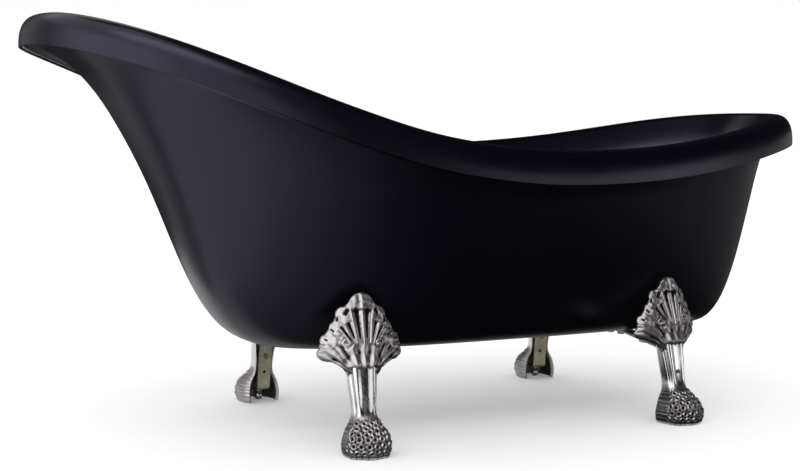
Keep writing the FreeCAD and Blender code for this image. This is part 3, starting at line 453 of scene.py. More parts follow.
def pillow(x, z, centre, radius):
    """Dome sqrt(1 - (d/r)^2) over a round patch."""
    d2 = ((x - centre[0])**2 + (z - centre[1])**2) / radius**2
    return np.sqrt(np.clip(1 - d2, 0, 1))


print("stroke half way to its edge", stroke(1.0, 5.0, (0, 0), (0, 10), 2.0, 2.0))

# %% [markdown]
# The leg and the paw are one surface: a section at each height, round at the toes
# and squarer behind, open at its back. The table of sections goes through a natural
# spline, so the leg has no kinks.

# %% Form of the leg and paw
# Height, half width, front, back, and how square the back is (small is square)
LIMB = ((0, 41, -49, 30, 0.8), (16, 44, -54, 33, 0.8), (34, 42, -49, 32, 0.8), (48, 36, -38, 29.5, 0.72),
        (60, 27.5, -23, 26, 0.6), (76, 22.6, -13.5, 25.5, 0.45), (105, 24, -8, 29, 0.35),
        (145, 28, -1, 33, 0.3), (190, 31, 9, 40, 0.3))
LIMB_HEIGHTS = np.concatenate([np.linspace(0, 66, 78), np.linspace(68, 186, 58)])
LIMB_AROUND, LIMB_OPEN = 210, math.radians(130)
FRONT_ROUND = 0.8  # power of the front's curve
# The widest place: a share of the half width behind the front, and short of the back
DEPTH_SHARE, BACK_ROOM = 0.9, 4
CASTING_WALL = 6.0
PAW_TOP = 66.0
TOE_SWELL, TOE_TOP, TOE_WAVES = 0.05, 62, 8


def limb_surface(heights, around):
    """Point (w sin^p a, y - reach cos^p a, z), with the width, reach and power p of each height."""
    half, front, back, boxy = (v[:, None] for v in through(LIMB, heights).T)
    z = heights[:, None]
    middle = np.minimum(front + half * DEPTH_SHARE, back - BACK_ROOM) * smooth(z / PAW_TOP)
    ca, sa = np.cos(around)[None, :], np.sin(around)[None, :]
    toes = np.clip(ca, 0, 1) * np.cos(TOE_WAVES * around)[None, :] * np.clip(1 - z / TOE_TOP, 0, 1)
    swell = 1 + TOE_SWELL * toes
    x = half * swell * power(sa, np.where(ca > 0, FRONT_ROUND, boxy))
    to_front = (front - middle) * swell * np.abs(ca)**FRONT_ROUND
    to_back = (back - middle) * np.abs(ca)**boxy
    return np.stack([x, middle + np.where(ca > 0, to_front, to_back), z + 0 * x], -1)


print("limb", len(LIMB_HEIGHTS), "sections of", LIMB_AROUND, "points")

# %% [markdown]
# The fur is a field of small curls. Each is a raised ring round a pit, placed in
# staggered rows on the surface itself, so the curls keep their size where the paw
# narrows. A seeded random shift of each keeps them from looking stamped.

# %% Places of the curls
CURL_PITCH, CURL_RING, CURL_WIDTH, CURL_HEIGHT = 14.6, 4.7, 2.0, 3.3
CURL_PIT, PIT_DEPTH = 2.2, 1.6
CURL_ROW = 0.85  # rows lie closer than curls in a row, as a share of the pitch
FIRST_ROW, FUR_FROM, FUR_TO = 9.0, 3, 70
SHIFT_ALONG, SHIFT_UP = 1.5, 1.2
FUR_LIMIT = math.radians(78)


def surface_run(points):
    """Length along a line of points from its start to each of them."""
    return np.concatenate([[0], np.cumsum(np.linalg.norm(np.diff(points, axis=0), axis=1))])


def curl_centres():
    """Staggered rows of curl centres on the paw's front, a curl's pitch apart along the surface."""
    random = np.random.default_rng(7)
    rows = np.linspace(FUR_FROM, FUR_TO, 400)
    run = surface_run(limb_surface(rows, np.array([0.0]))[:, 0])
    centres = []
    for k, distance in enumerate(np.arange(FIRST_ROW, run[-1], CURL_PITCH * CURL_ROW)):
        z = np.interp(distance, run, rows)
        fine = np.linspace(-FUR_LIMIT, FUR_LIMIT, 300)
        length = surface_run(limb_surface(np.array([z]), fine)[0])
        places = np.arange(CURL_PITCH * (0.3 + 0.5 * (k % 2)), length[-1], CURL_PITCH)
        places = places + random.uniform(-SHIFT_ALONG, SHIFT_ALONG, len(places))
        a = np.interp(places, length, fine)
        centres.append(limb_surface(np.array([z + random.uniform(-SHIFT_UP, SHIFT_UP)]), a)[0])
    return np.concatenate(centres)


curls = curl_centres()
print("curls of fur", len(curls))

# %% Relief of the leg and paw
# Flutes of the leg: place across the front, half width, depth
FLUTES = ((0.0, 0.25, 4.8), (-0.66, 0.12, 3.0), (0.66, 0.12, 3.0))
CLAW_HEIGHT, CLAW_WAVES, CLAW_TOP = 1.7, 12, 12
SIDE_LINES = 0.4


def limb_relief(points, around):
    """Height of the relief: curls and side lines on the paw, claws at its sole, flutes on the leg."""
    z, a = points[..., 2], around[None, :]
    away = np.full(z.shape, 1e9)
    turn = np.zeros(z.shape)
    for centre in curls:
        gap = points - centre
        d = np.linalg.norm(gap, axis=-1)
        nearer = d < away
        away = np.where(nearer, d, away)
        turn = np.where(nearer, np.arctan2(gap[..., 2], gap[..., 0]), turn)
    ring = np.exp(-((away - CURL_RING) / CURL_WIDTH)**2) * (0.8 + 0.2 * np.cos(turn + away * 0.9))
    pit = np.exp(-(away / CURL_PIT)**2)
    front = falls(np.abs(a), FUR_LIMIT, 0.25)
    fur = CURL_HEIGHT * ring - PIT_DEPTH * pit + 0.35 * np.cos(6 * turn + away)
    fur = fur * (front * falls(z, 72, 8) * rises(z, 9, 4))
    claw = CLAW_HEIGHT * np.abs(np.cos(a * CLAW_WAVES))**0.7 * falls(z, CLAW_TOP, 3) * front
    place = a / (math.pi / 2)
    flute = -sum(depth * smooth(1.25 - np.abs(place - at) / (wide * 1.25)) for at, wide, depth in FLUTES)
    flute = flute * (rises(z, 62, 34) * falls(z, 178, 6))
    side = rises(np.abs(a), FUR_LIMIT - 0.15, 0.3) * falls(z, 66, 8) * rises(z, 5, 4)
    lines = SIDE_LINES * side * np.cos(0.85 * z + 2.4 * np.abs(a) + 0.8 * np.sin(0.2 * z))
    return fur + claw + flute + lines


def limb_mesh():
    """Outer and inner sheets of the leg and paw, open behind; the sole stays flat on the floor."""
    around = np.linspace(-1, 1, LIMB_AROUND) * LIMB_OPEN
    base = limb_surface(LIMB_HEIGHTS, around)
    normal = grid_normals(base)
    relief = limb_relief(base, around)
    inside = base - normal * CASTING_WALL
    inside[..., 2] = base[..., 2]
    face = base + normal * relief[..., None]
    face[..., 2] = np.maximum(face[..., 2], 0.0)
    return face, inside, relief


limb_face, limb_inside, limb_heights = limb_mesh()
print("limb's relief", limb_heights.min().round(2), "to", limb_heights.max().round(2), "mm")

# %% [markdown]
# The crest is a plate that bulges round an upright axis behind it. Its outline is
# the union of round lobes, measured along rays from one focus, so the plate can be
# a disc of rings round that focus.

# %% Outline of the crest
CREST_AXIS, CREST_FOCUS = 112.0, 188.0
# Height, and the bulge's radius there
CREST_FACE = ((126, 100), (140, 102), (165, 107), (195, 106), (230, 97), (268, 85), (300, 75))
# Lobes of one side: across, up from the focus, radius
LOBES = ((0, 81, 25), (33, 66, 16), (47, 42, 14), (62, 18, 15), (69, -7, 14))
WEB_OUT = 0.86  # the web between two lobes, as a share of their radius
# The skirt that flares out of the leg, from the lowest lobe down to the leg's side
SKIRT = ((62, -19), (50, -25), (40, -33), (31, -44), (21, -52))
CREST_CORE = 20.0  # least reach
CREST_AROUND, CREST_RINGS, CREST_BACK_RINGS, CREST_WALL = 340, 84, 10, 7.0
RING_POWER = 0.92  # the rings lie a little closer near the outline


def web_point(x, z, r):
    """Where the web meets a lobe: its centre moved away from the focus."""
    far = math.hypot(x, z)
    return x + WEB_OUT * r * x / far, z + WEB_OUT * r * z / far


def lobed_reach(a):
    """Farthest crossing of each ray from the focus with the lobes' circles, the webs and the skirt."""
    ray = np.stack([np.sin(a), np.cos(a)])
    reach = np.full(a.shape, CREST_CORE)
    sides = [[(side * x, z, r) for x, z, r in LOBES] for side in (-1, 1)]
    for x, z, r in sides[0] + sides[1]:
        along, off = ray[0] * x + ray[1] * z, ray[0] * z - ray[1] * x
        hit = along + np.sqrt(np.clip(r * r - off * off, 0, None))
        reach = np.where(np.abs(off) < r, np.maximum(reach, hit), reach)
    webs = [[web_point(*lobe) for lobe in lobes] for lobes in sides]
    skirt = [(-x, z) for x, z in SKIRT] + [(x, z) for x, z in SKIRT[::-1]]
    for chain in webs + [skirt]:
        for (x1, z1), (x2, z2) in zip(chain, chain[1:]):
            turn = (x2 - x1) * ray[1] - (z2 - z1) * ray[0]
            turn = np.where(np.abs(turn) < 1e-9, 1e-9, turn)
            hit = (z1 * (x2 - x1) - x1 * (z2 - z1)) / turn
            share = (ray[0] * z1 - ray[1] * x1) / turn
            reach = np.where((share >= 0) & (share <= 1) & (hit > 0), np.maximum(reach, hit), reach)
    for _ in range(3):
        reach = (np.roll(reach, 1) + 2 * reach + np.roll(reach, -1)) / 4
    return reach


crest_turns = np.arange(CREST_AROUND) * (2 * math.pi / CREST_AROUND)
crest_reach = lobed_reach(crest_turns)
print("crest's reach", crest_reach.min().round(1), "to", crest_reach.max().round(1), "mm")

# %% [markdown]
# The leaf's relief is a sum of simple forms, each worked out for every point of the
# plate at once: domes, strokes, spirals and waves, from the large to the fine.

# %% Relief of the crest
# Strokes of the relief on one side: start, end, half widths, height (negative is cut in)
STROKES = (
    ((6.6, 214), (10.4, 262), 2.0, 6.2, -6.5), ((18.0, 214), (26.0, 238), 1.7, 4.0, -5.2),
    ((24.0, 209), (38.5, 231), 1.7, 3.8, -4.8), ((30.0, 256), (27.0, 262), 5.0, 5.0, -4.6),
    ((46.0, 244), (44.0, 249), 2.6, 2.6, -2.4), ((53.0, 224), (56.0, 227), 2.8, 2.8, -2.6),
    ((64.0, 208), (67.0, 209), 2.4, 2.4, -2.2), ((0.0, 200), (0.0, 288), 2.2, 4.0, 2.4),
    ((12.0, 204), (20.5, 262), 1.6, 3.4, 2.0), ((19.0, 203), (33.0, 238), 1.2, 2.4, 1.8),
    ((26.0, 200), (46.0, 226), 1.4, 3.0, 1.6),
)
CAP_HEIGHT, CAP_FROM, CAP_HALF = 4.2, 261, 31
LOBE_HEIGHT, LOBE_SHARE = 2.0, 0.95
VOLUTE_X, VOLUTE_Z, VOLUTE_RADIUS, VOLUTE_HEIGHT = 31, 203.5, 8.0, 1.3
GROOVE_RADIUS, GROOVE_WIDTH, GROOVE_DEPTH = 9.4, 1.7, 0.9
RIBS_FROM, RIB_HEIGHT, VEIN_HEIGHT = 122, 1.8, 1.0
RIPPLE, CURL_OVER = 0.45, 8.5
BEAD_HEIGHT, BEAD_WAVES = 0.8, 26
EDGE_ROUND = 4.0


def crest_relief(x, z, share, reach, a):
    """Sum of the leaf's cap, lobes, strokes, volutes, sweeping ribs and beaded edge, in millimetres."""
    across = np.abs(x)  # the two sides are alike
    h = CAP_HEIGHT * rises(z, CAP_FROM, 4.5) * np.sqrt(np.clip(1 - (x / CAP_HALF)**2, 0, 1))
    for lobe_x, lobe_z, radius in LOBES[1:]:
        h = h + LOBE_HEIGHT * pillow(across, z, (lobe_x, CREST_FOCUS + lobe_z), radius * LOBE_SHARE)
    for start, end, wide_start, wide_end, height in STROKES:
        h = h + height * stroke(across, z, start, end, wide_start, wide_end)
    dx, dz = across - VOLUTE_X, z - VOLUTE_Z
    d = np.hypot(dx, dz)
    volutes = np.exp(-(d / VOLUTE_RADIUS)**4)
    h = h + VOLUTE_HEIGHT * volutes * np.cos(np.arctan2(dz, dx) + 0.62 * d)
    h = h - GROOVE_DEPTH * np.exp(-((d - GROOVE_RADIUS) / GROOVE_WIDTH)**2)
    turn = np.arctan2(x, z - RIBS_FROM + 0.006 * x * x)
    ribs = RIB_HEIGHT * np.cos(21 * turn) + VEIN_HEIGHT * np.cos(63 * turn) * rises(across, 26, 14)
    h = h + falls(z, 206, 10) * (1 - volutes) * ribs
    ripple = np.cos(0.31 * x + 0.2 * z) * np.cos(0.27 * z - 0.15 * x)
    h = h + RIPPLE * rises(share, 0.45, 0.2) * ripple
    h = h + CURL_OVER * falls(z, 186, 22) * rises(z, 157, 6) * falls(across, 34, 16)
    beads = BEAD_HEIGHT * np.abs(np.cos(a * BEAD_WAVES)) * rises(share, 0.8, 0.08) * rises(z, 176, 8)
    inwards = np.clip((reach * share - (reach - EDGE_ROUND)) / EDGE_ROUND, 0, 1)
    return h + beads - EDGE_ROUND * (1 - np.sqrt(1 - inwards**2))


def crest_mesh():
    """Rings of the front from the focus to the outline, and of the plain back from there to its middle."""
    a, reach = crest_turns[None, :], crest_reach[None, :]
    share = np.linspace(0, 1, CREST_RINGS + 1)[1:, None]**RING_POWER
    x, z = share * reach * np.sin(a), CREST_FOCUS + share * reach * np.cos(a)
    radius = through(CREST_FACE, z)[..., 0]
    base = np.stack([x, CREST_AXIS - np.sqrt(radius**2 - x**2), z], -1)
    outer = np.concatenate([base[:, -1:], base, base[:, :1]], 1)
    normal = grid_normals(outer)[:, 1:-1]
    relief = crest_relief(x, z, share, reach, a)
    face = base + normal * relief[..., None]
    back = (base - normal * CREST_WALL)[::-1][::CREST_RINGS // CREST_BACK_RINGS]
    return face, back, relief


crest_face, crest_back, crest_heights = crest_mesh()
print("crest's relief", crest_heights.min().round(2), "to", crest_heights.max().round(2), "mm")

# %% [markdown]
# A foot is three closed pieces of casting in one mesh: the limb, the crest and the
# boss that the strap's screw goes into. A point attribute called recess says how far
# each point lies below its surroundings; the material paints shade there by darkening
# the metal. One called buffed is 1 on the smooth leg, which a polishing wheel reaches all over.

# %% Recesses of the casting
RECESS_DEPTH, BLUR_ROUNDS = 1.4, 40
# The hidden backs and the boss get part of a recess: rougher, and darkened by the material as painted shade
HIDDEN_RECESS = 0.35  # recess of the unpolished backs


def hollows(relief, closed):
    """Depth of each point below the blurred relief around it, from 0 to 1."""
    level = relief
    for _ in range(BLUR_ROUNDS):
        padded = np.pad(level, ((1, 1), (0, 0)), mode="edge")
        padded = np.pad(padded, ((0, 0), (1, 1)), mode="wrap" if closed else "edge")
        level = (padded[2:, 1:-1] + padded[:-2, 1:-1] + padded[1:-1, 2:] + padded[1:-1, :-2]) / 4
    return np.clip((level - relief) / RECESS_DEPTH, 0, 1)


limb_recess, crest_recess = hollows(limb_heights, False), hollows(crest_heights, True)
print("deepest recess", max(limb_recess.max(), crest_recess.max()))

# %% Pieces of a foot
BOSS_RADIUS, BOSS_Z, BOSS_FROM, BOSS_TO = 7.0, 100.0, -4.0, 22.4
BUFF_FADE = 14


def limb_piece():
    """Front sheet, rear sheet, and a strip round the edges that joins them."""
    rows, columns = limb_heights.shape
    count = rows * columns
    front = np.arange(count).reshape(rows, columns)
    loop = np.concatenate([front[0, :-1], front[:-1, -1], front[-1, :0:-1], front[:0:-1, 0]])
    rear = loop + count
    strip = np.stack([np.roll(loop, -1), loop, rear, np.roll(rear, -1)], -1)
    quads = grid_faces(rows, columns, False)
    points = np.concatenate([limb_face.reshape(-1, 3), limb_inside.reshape(-1, 3)])
    recess = np.concatenate([limb_recess.ravel(), np.full(count, HIDDEN_RECESS)])
    buffed = rises(LIMB_HEIGHTS, PAW_TOP, BUFF_FADE).repeat(columns)
    return points, [quads, quads[:, ::-1] + count, strip], recess, np.concatenate([buffed, 0 * buffed])


def crest_piece():
    """One grid of rings over the front, round the edge and over the back, closed by a pole at each end."""
    rings = np.concatenate([crest_face, crest_back])
    rows, columns = rings.shape[:2]
    count = rows * columns
    points = np.concatenate([rings.reshape(-1, 3), crest_face[:1].mean(1), crest_back[-1:].mean(1)])
    faces = [grid_faces(rows, columns), fan_faces(np.arange(columns), count)[:, ::-1],
             fan_faces(np.arange(count - columns, count), count + 1)]
    behind = np.full(crest_back.shape[0] * columns, HIDDEN_RECESS)
    recess = np.concatenate([crest_recess.ravel(), behind, [0.0, HIDDEN_RECESS]])
    return points, faces, recess, 0 * recess


def boss_piece():
    """Round boss behind the leg, which the strap's screw goes into."""
    points, faces = bar((0, (BOSS_FROM + BOSS_TO) / 2, BOSS_Z), (0, 1, 0), BOSS_RADIUS, BOSS_TO - BOSS_FROM)
    recess = np.full(len(points), HIDDEN_RECESS)
    return points, faces, recess, 0 * recess


foot_parts = [limb_piece(), crest_piece(), boss_piece()]
foot_starts = np.cumsum([0] + [len(part[0]) for part in foot_parts])
foot_points, foot_recess, foot_buffed = (np.concatenate([part[k] for part in foot_parts]) for k in (0, 2, 3))
foot_faces = [face + start for part, start in zip(foot_parts, foot_starts) for face in part[1]]
print("foot", len(foot_points), "points")

# %% Make the feet
MILLIMETRES = 1000  # in a metre
# Place of each foot in millimetres, and its turn in degrees
FEET = {"head_near": (-297.0, -271.0, -8.0), "drain_near": (405.0, -271.0, 8.0),
        "head_far": (-297.0, 271.0, 188.0), "drain_far": (405.0, 271.0, 172.0)}

feet = []
for foot, (x, y, degrees) in FEET.items():
    a = math.radians(degrees)
    turn = np.array([[math.cos(a), math.sin(a), 0], [-math.sin(a), math.cos(a), 0], [0, 0, 1]])
    piece = add_mesh("foot_" + foot, (foot_points @ turn + (x, y, 0)) / MILLIMETRES, foot_faces, SHARP,
                     {"recess": foot_recess, "buffed": foot_buffed})
    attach(piece, "bath")
    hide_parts("claw_foot_" + foot)
    feet.append(piece)
print("feet", [foot.name for foot in feet])

# %% [markdown]
# ## Finishes
# Every finish is built from nodes in the object's own coordinates: one noise mixes
# two colours, a second spreads the roughness between two values, and a third raises
# a faint bump. What makes each material itself is put on top.

# %% Node helpers
def feed(tree, socket, value):
    """Links an input to another node's output, or sets its value."""
    if isinstance(value, bpy.types.NodeSocket):
        tree.links.new(value, socket)
    else:
        socket.default_value = value


def node(tree, kind, **inputs):
    """New node with its inputs fed by name."""
    made = tree.nodes.new(kind)
    for label, value in inputs.items():
        feed(tree, made.inputs[label.replace("_", " ")], value)
    return made


def mixed(tree, factor, first, second, blend="MIX"):
    """Colour between two colours by a factor."""
    made = tree.nodes.new("ShaderNodeMix")
    made.data_type, made.blend_type = "RGBA", blend
    for k, value in ((0, factor), (6, first), (7, second)):
        feed(tree, made.inputs[k], (*value, 1.0) if isinstance(value, tuple) else value)
    return made.outputs[2]


def spread(tree, value, low, high, start=0.3, end=0.7):
    """Spreads a value's range, at first a noise's middle range, from low to high."""
    ranges = {"From_Min": start, "From_Max": end, "To_Min": low, "To_Max": high}
    return node(tree, "ShaderNodeMapRange", Value=value, **ranges).outputs[0]

# %% A finish, and what is put on it
def finish(name, light, dark, rough, grain, bump, metallic=0.0, specular=0.5, stretch=(1, 1, 1)):
    """Principled material with mottled colour, uneven roughness and a fine bump, open to more nodes.

    grain is the three noises' scale per metre, and bump is its strength and height in metres.
    """
    made = bpy.data.materials.new(name)
    made.use_nodes = True
    tree = made.node_tree
    shader = tree.nodes["Principled BSDF"]
    shader.inputs["Metallic"].default_value = metallic
    shader.inputs["Specular IOR Level"].default_value = specular
    where = tree.nodes.new("ShaderNodeTexCoord").outputs["Object"]
    place = node(tree, "ShaderNodeMapping", Vector=where, Scale=stretch).outputs[0]
    mottle, patch, fine = (node(tree, "ShaderNodeTexNoise", Vector=place, Scale=scale, Detail=5.0).outputs[0]
                           for scale in grain)
    colour = mixed(tree, spread(tree, mottle, 0.0, 1.0), dark, light)
    uneven = spread(tree, patch, *rough)
    relief = node(tree, "ShaderNodeBump", Height=fine, Strength=bump[0], Distance=bump[1])
    for label, output in (("Base Color", colour), ("Roughness", uneven), ("Normal", relief.outputs[0])):
        feed(tree, shader.inputs[label], output)
    return SimpleNamespace(material=made, tree=tree, shader=shader, place=place, colour=colour, rough=uneven,
                           bump=relief)


def texture(on, kind, **inputs):
    """One of the Noise, Voronoi and Wave textures, in the finish's own coordinates."""
    return node(on.tree, "ShaderNodeTex" + kind, Vector=on.place, **inputs)


def overlay(on, factor, tint):
    """Mixes a tint over the finish's colour by a factor."""
    on.colour = mixed(on.tree, factor, on.colour, tint)
    feed(on.tree, on.shader.inputs["Base Color"], on.colour)


def underlay(on, height, strength, distance):
    """Puts a larger bump under the finish's fine one."""
    made = node(on.tree, "ShaderNodeBump", Height=height, Strength=strength, Distance=distance)
    feed(on.tree, on.bump.inputs["Normal"], made.outputs[0])


print("materials of the CAD model", len(bpy.data.materials))

# %% [markdown]
# The acrylic is glossy and near-black, with a violet shine from its specular tint.
# Vacuum forming leaves long soft waves, and a used surface has specks of dust.

# %% Acrylic
acrylic = finish("acrylic", (0.0010, 0.0007, 0.0036), (0.0007, 0.0004, 0.0026), (0.26, 0.34),
                 (3.0, 5.0, 900.0), (0.12, 0.0002))
acrylic.shader.inputs["Specular Tint"].default_value = (0.80, 0.75, 1.0, 1.0)
waves = texture(acrylic, "Noise", Scale=14.0, Detail=2.0)
underlay(acrylic, waves.outputs[0], 0.25, 0.0006)
dust = texture(acrylic, "Noise", Scale=420.0, Detail=3.0)
overlay(acrylic, spread(acrylic.tree, dust.outputs[0], 0.0, 0.35, 0.70, 0.80), (0.004, 0.004, 0.007))
print("acrylic", len(acrylic.tree.nodes), "nodes")

# %% [markdown]
# The feet are plated castings, bright where they are buffed, rougher and with painted shade in
# their recesses, so the mesh's two attributes drive both colour and roughness. The
# waste and overflow are smooth chrome, with a few dried drops of water.

# %% Cast chrome and polished chrome
DIRT_ROUGH, BUFFED_ROUGH = 0.35, -0.19  # added to the roughness in a recess, and where buffed
chrome = finish("cast_chrome", (0.60, 0.565, 0.575), (0.45, 0.42, 0.435), (0.30, 0.42), (30.0, 60.0, 260.0),
                (0.22, 0.0006), metallic=1.0)
recess, buffed = node(chrome.tree, "ShaderNodeAttribute"), node(chrome.tree, "ShaderNodeAttribute")
recess.attribute_name, buffed.attribute_name = "recess", "buffed"
polish = spread(chrome.tree, buffed.outputs["Fac"], 0.0, BUFFED_ROUGH, 0.0, 1.0)
overlay(chrome, buffed.outputs["Fac"], (0.78, 0.76, 0.78))
# Painted shade: the metal's colour goes towards near black with the depth of each recess, and part of the
# way on the hidden backs and the boss
painted_recess_shade = spread(chrome.tree, recess.outputs["Fac"], 0.0, 1.0, 0.08, 0.75)
overlay(chrome, painted_recess_shade, (0.022, 0.021, 0.024))
dull = node(chrome.tree, "ShaderNodeMath", Value=chrome.rough)
dirt = node(chrome.tree, "ShaderNodeMath", Value=painted_recess_shade)
dull.operation, dirt.operation = "ADD", "MULTIPLY_ADD"
feed(chrome.tree, dirt.inputs[1], DIRT_ROUGH)
feed(chrome.tree, dirt.inputs[2], polish)
feed(chrome.tree, dull.inputs[1], dirt.outputs[0])
feed(chrome.tree, chrome.shader.inputs["Roughness"], dull.outputs[0])

fitting = finish("fitting_chrome", (0.72, 0.72, 0.74), (0.62, 0.62, 0.65), (0.06, 0.16), (40.0, 90.0, 500.0),
                 (0.06, 0.0002), metallic=1.0)
drops = texture(fitting, "Voronoi", Scale=260.0)
overlay(fitting, spread(fitting.tree, drops.outputs["Distance"], 0.5, 0.0, 0.0, 0.22), (0.50, 0.51, 0.52))
print("chromes", len(chrome.tree.nodes), "and", len(fitting.tree.nodes), "nodes")

# %% [markdown]
# Zinc plating grows as crystals, which a Voronoi texture's cells stand for. The
# brass has the fine rings of a lathe, and the board its pressed flakes of wood.

# %% Plated steel
def spangled(name, light, dark, rough):
    """Plated sheet: crystals of the plating as cells, each a little lighter or darker than the next."""
    on = finish(name, light, dark, rough, (25.0, 70.0, 420.0), (0.25, 0.0003), metallic=1.0)
    cells = texture(on, "Voronoi", Scale=190.0)
    tone = node(on.tree, "ShaderNodeSeparateColor", Color=cells.outputs["Color"])
    overlay(on, spread(on.tree, tone.outputs[0], 0.0, 0.45, 0.0, 1.0), tuple(v * 0.55 for v in dark))
    return on


zinc = spangled("zinc_yellowish", (0.62, 0.58, 0.42), (0.45, 0.42, 0.30), (0.32, 0.52))
zinc_bright = spangled("zinc_bright", (0.66, 0.67, 0.69), (0.50, 0.51, 0.53), (0.18, 0.34))
clip_steel = finish("clip_steel", (0.60, 0.60, 0.61), (0.42, 0.42, 0.43), (0.22, 0.38), (30.0, 60.0, 300.0),
                    (0.3, 0.0003), metallic=1.0, stretch=(1, 1, 12))
print("plated steel", zinc.material.name)

# %% Brass and board
brass = finish("turned_brass", (0.60, 0.43, 0.17), (0.42, 0.28, 0.10), (0.18, 0.34), (60.0, 90.0, 300.0),
               (0.25, 0.0003), metallic=1.0)
turning = texture(brass, "Wave", Scale=260.0, Distortion=0.6)
turning.bands_direction = "Z"
underlay(brass, turning.outputs["Fac"], 0.35, 0.0002)

board = finish("chipboard", (0.46, 0.33, 0.19), (0.27, 0.18, 0.09), (0.65, 0.85), (22.0, 60.0, 500.0),
               (0.6, 0.0008), specular=0.25, stretch=(1, 1, 4))
flakes = texture(board, "Voronoi", Scale=230.0, Randomness=1.0)
tone = node(board.tree, "ShaderNodeSeparateColor", Color=flakes.outputs["Color"])
overlay(board, spread(board.tree, tone.outputs[1], 0.0, 0.6, 0.2, 1.0), (0.62, 0.50, 0.33))
print("board", len(board.tree.nodes), "nodes")

# %% [markdown]
# Rubber, foam, moulded plastic and cured adhesive differ most in roughness. The foam
# pads also show their pores.

# %% Rubber, foam, plastic and adhesive
seal = finish("seal_rubber", (0.022, 0.022, 0.022), (0.010, 0.010, 0.011), (0.55, 0.75), (40.0, 80.0, 900.0),
              (0.4, 0.0003), specular=0.35)
pad = finish("pad_foam", (0.66, 0.65, 0.60), (0.50, 0.49, 0.45), (0.8, 0.95), (60.0, 90.0, 1200.0),
             (0.9, 0.0008), specular=0.2)
cells = texture(pad, "Voronoi", Scale=1400.0)
overlay(pad, spread(pad.tree, cells.outputs["Distance"], 0.5, 0.0, 0.0, 0.35), (0.34, 0.33, 0.30))
plastic = finish("moulded_plastic", (0.74, 0.74, 0.71), (0.66, 0.66, 0.62), (0.38, 0.52),
                 (18.0, 50.0, 1100.0), (0.3, 0.0002), specular=0.45)
bond = finish("cured_bond", (0.56, 0.56, 0.51), (0.44, 0.44, 0.39), (0.35, 0.6), (35.0, 60.0, 160.0),
              (0.6, 0.0012), specular=0.4)
hose = finish("hose_plastic", (0.42, 0.42, 0.41), (0.34, 0.34, 0.33), (0.45, 0.6), (30.0, 60.0, 700.0),
              (0.3, 0.0003), specular=0.4)
print("finishes so far", len(bpy.data.materials))

# %% Give every node and piece its finish
FINISHES = {"shell_acrylic": acrylic, "bond": bond, "board": board, "foot_chrome": chrome,
            "fitting_chrome": fitting, "zinc": zinc, "zinc_bright": zinc_bright, "pad": pad, "seal": seal,
            "brass": brass, "waste_plastic": plastic, "hose": hose, "clip_steel": clip_steel}
for part in nodes.values():
    for slot in part.material_slots:
        slot.material = FINISHES[slot.material.name.split(".")[0]].material
for piece, look in [(well, acrylic), (hull, acrylic)] + [(foot, chrome) for foot in feet]:
    piece.data.materials.clear()
    piece.data.materials.append(look.material)
print("finishes given to", len(nodes), "nodes")

# %% [markdown]
# ## Floor and light
# The photograph's ground is plain white, so the floor is pale and the world is white.
# What the camera sees of the floor is lifted a little, and it keeps the bath's shadow.

# %% Floor and world
FLOOR_HALF, FLOOR_LIFT = 40, 0.22
ONE_FACE = [np.array([[0, 1, 2, 3]])]
WHITE = (1.0, 1.0, 1.0, 1.0)


def level(along, across, z):
    """Corners of a level card between two places along X and two along Y."""
    (x0, x1), (y0, y1) = along, across
    return [(x0, y0, z), (x1, y0, z), (x1, y1, z), (x0, y1, z)]


def upright(start, end, heights):
    """Corners of an upright card over a line on the floor, between two heights."""
    low, high = heights
    return [(*start, low), (*end, low), (*end, high), (*start, high)]


floor = add_mesh("floor", level((-FLOOR_HALF, FLOOR_HALF), (-FLOOR_HALF, FLOOR_HALF), 0), ONE_FACE)
paint = finish("floor_paint", (0.93, 0.93, 0.93), (0.91, 0.91, 0.91), (0.7, 0.8), (1.5, 3.0, 60.0),
               (0.05, 0.001), specular=0.2)
floor.data.materials.append(paint.material)

seen = paint.tree.nodes.new("ShaderNodeLightPath").outputs["Is Camera Ray"]
lift = node(paint.tree, "ShaderNodeMapRange", Value=seen, To_Max=FLOOR_LIFT)
paint.shader.inputs["Emission Color"].default_value = WHITE
feed(paint.tree, paint.shader.inputs["Emission Strength"], lift.outputs[0])

world = bpy.data.worlds.new("studio")
bpy.context.scene.world = world
world.use_nodes = True
world.node_tree.nodes["Background"].inputs["Color"].default_value = WHITE
print("world", world.name)

# %% [markdown]
# Glossy things show what stands round them. Dark and grey cards that only reflections
# see stand round the bath, over it and on the floor: painted reflections that keep its
# near side almost black. The hull's side reflects the card round the feet, so that card
# is graded: its tone along X is a painted reflection, the soft shine at the two ends.

# %% Cloths of the cards
CLOTH_ROUGH, CLOTH_GRAIN, CLOTH_BUMP = (0.9, 1.0), (2.0, 3.0, 200.0), (0.2, 0.001)
# Tone of the graded card, a painted reflection of the hull's shine: place along X in metres, lightness
CARD_TONES = ((-0.8, 0.60), (-0.6, 0.40), (-0.4, 0.22), (-0.16, 0.055), (0.1, 0.02), (0.9, 0.022),
              (1.3, 0.080), (1.8, 0.130), (2.3, 0.14), (3.1, 0.16), (4.6, 0.16))


def cloth(name, light, dark):
    """Dull card finish that shines in no direction; only reflections see it, so its colour is a painted
    reflection.
    """
    return finish(name, light, dark, CLOTH_ROUGH, CLOTH_GRAIN, CLOTH_BUMP, specular=0.0)
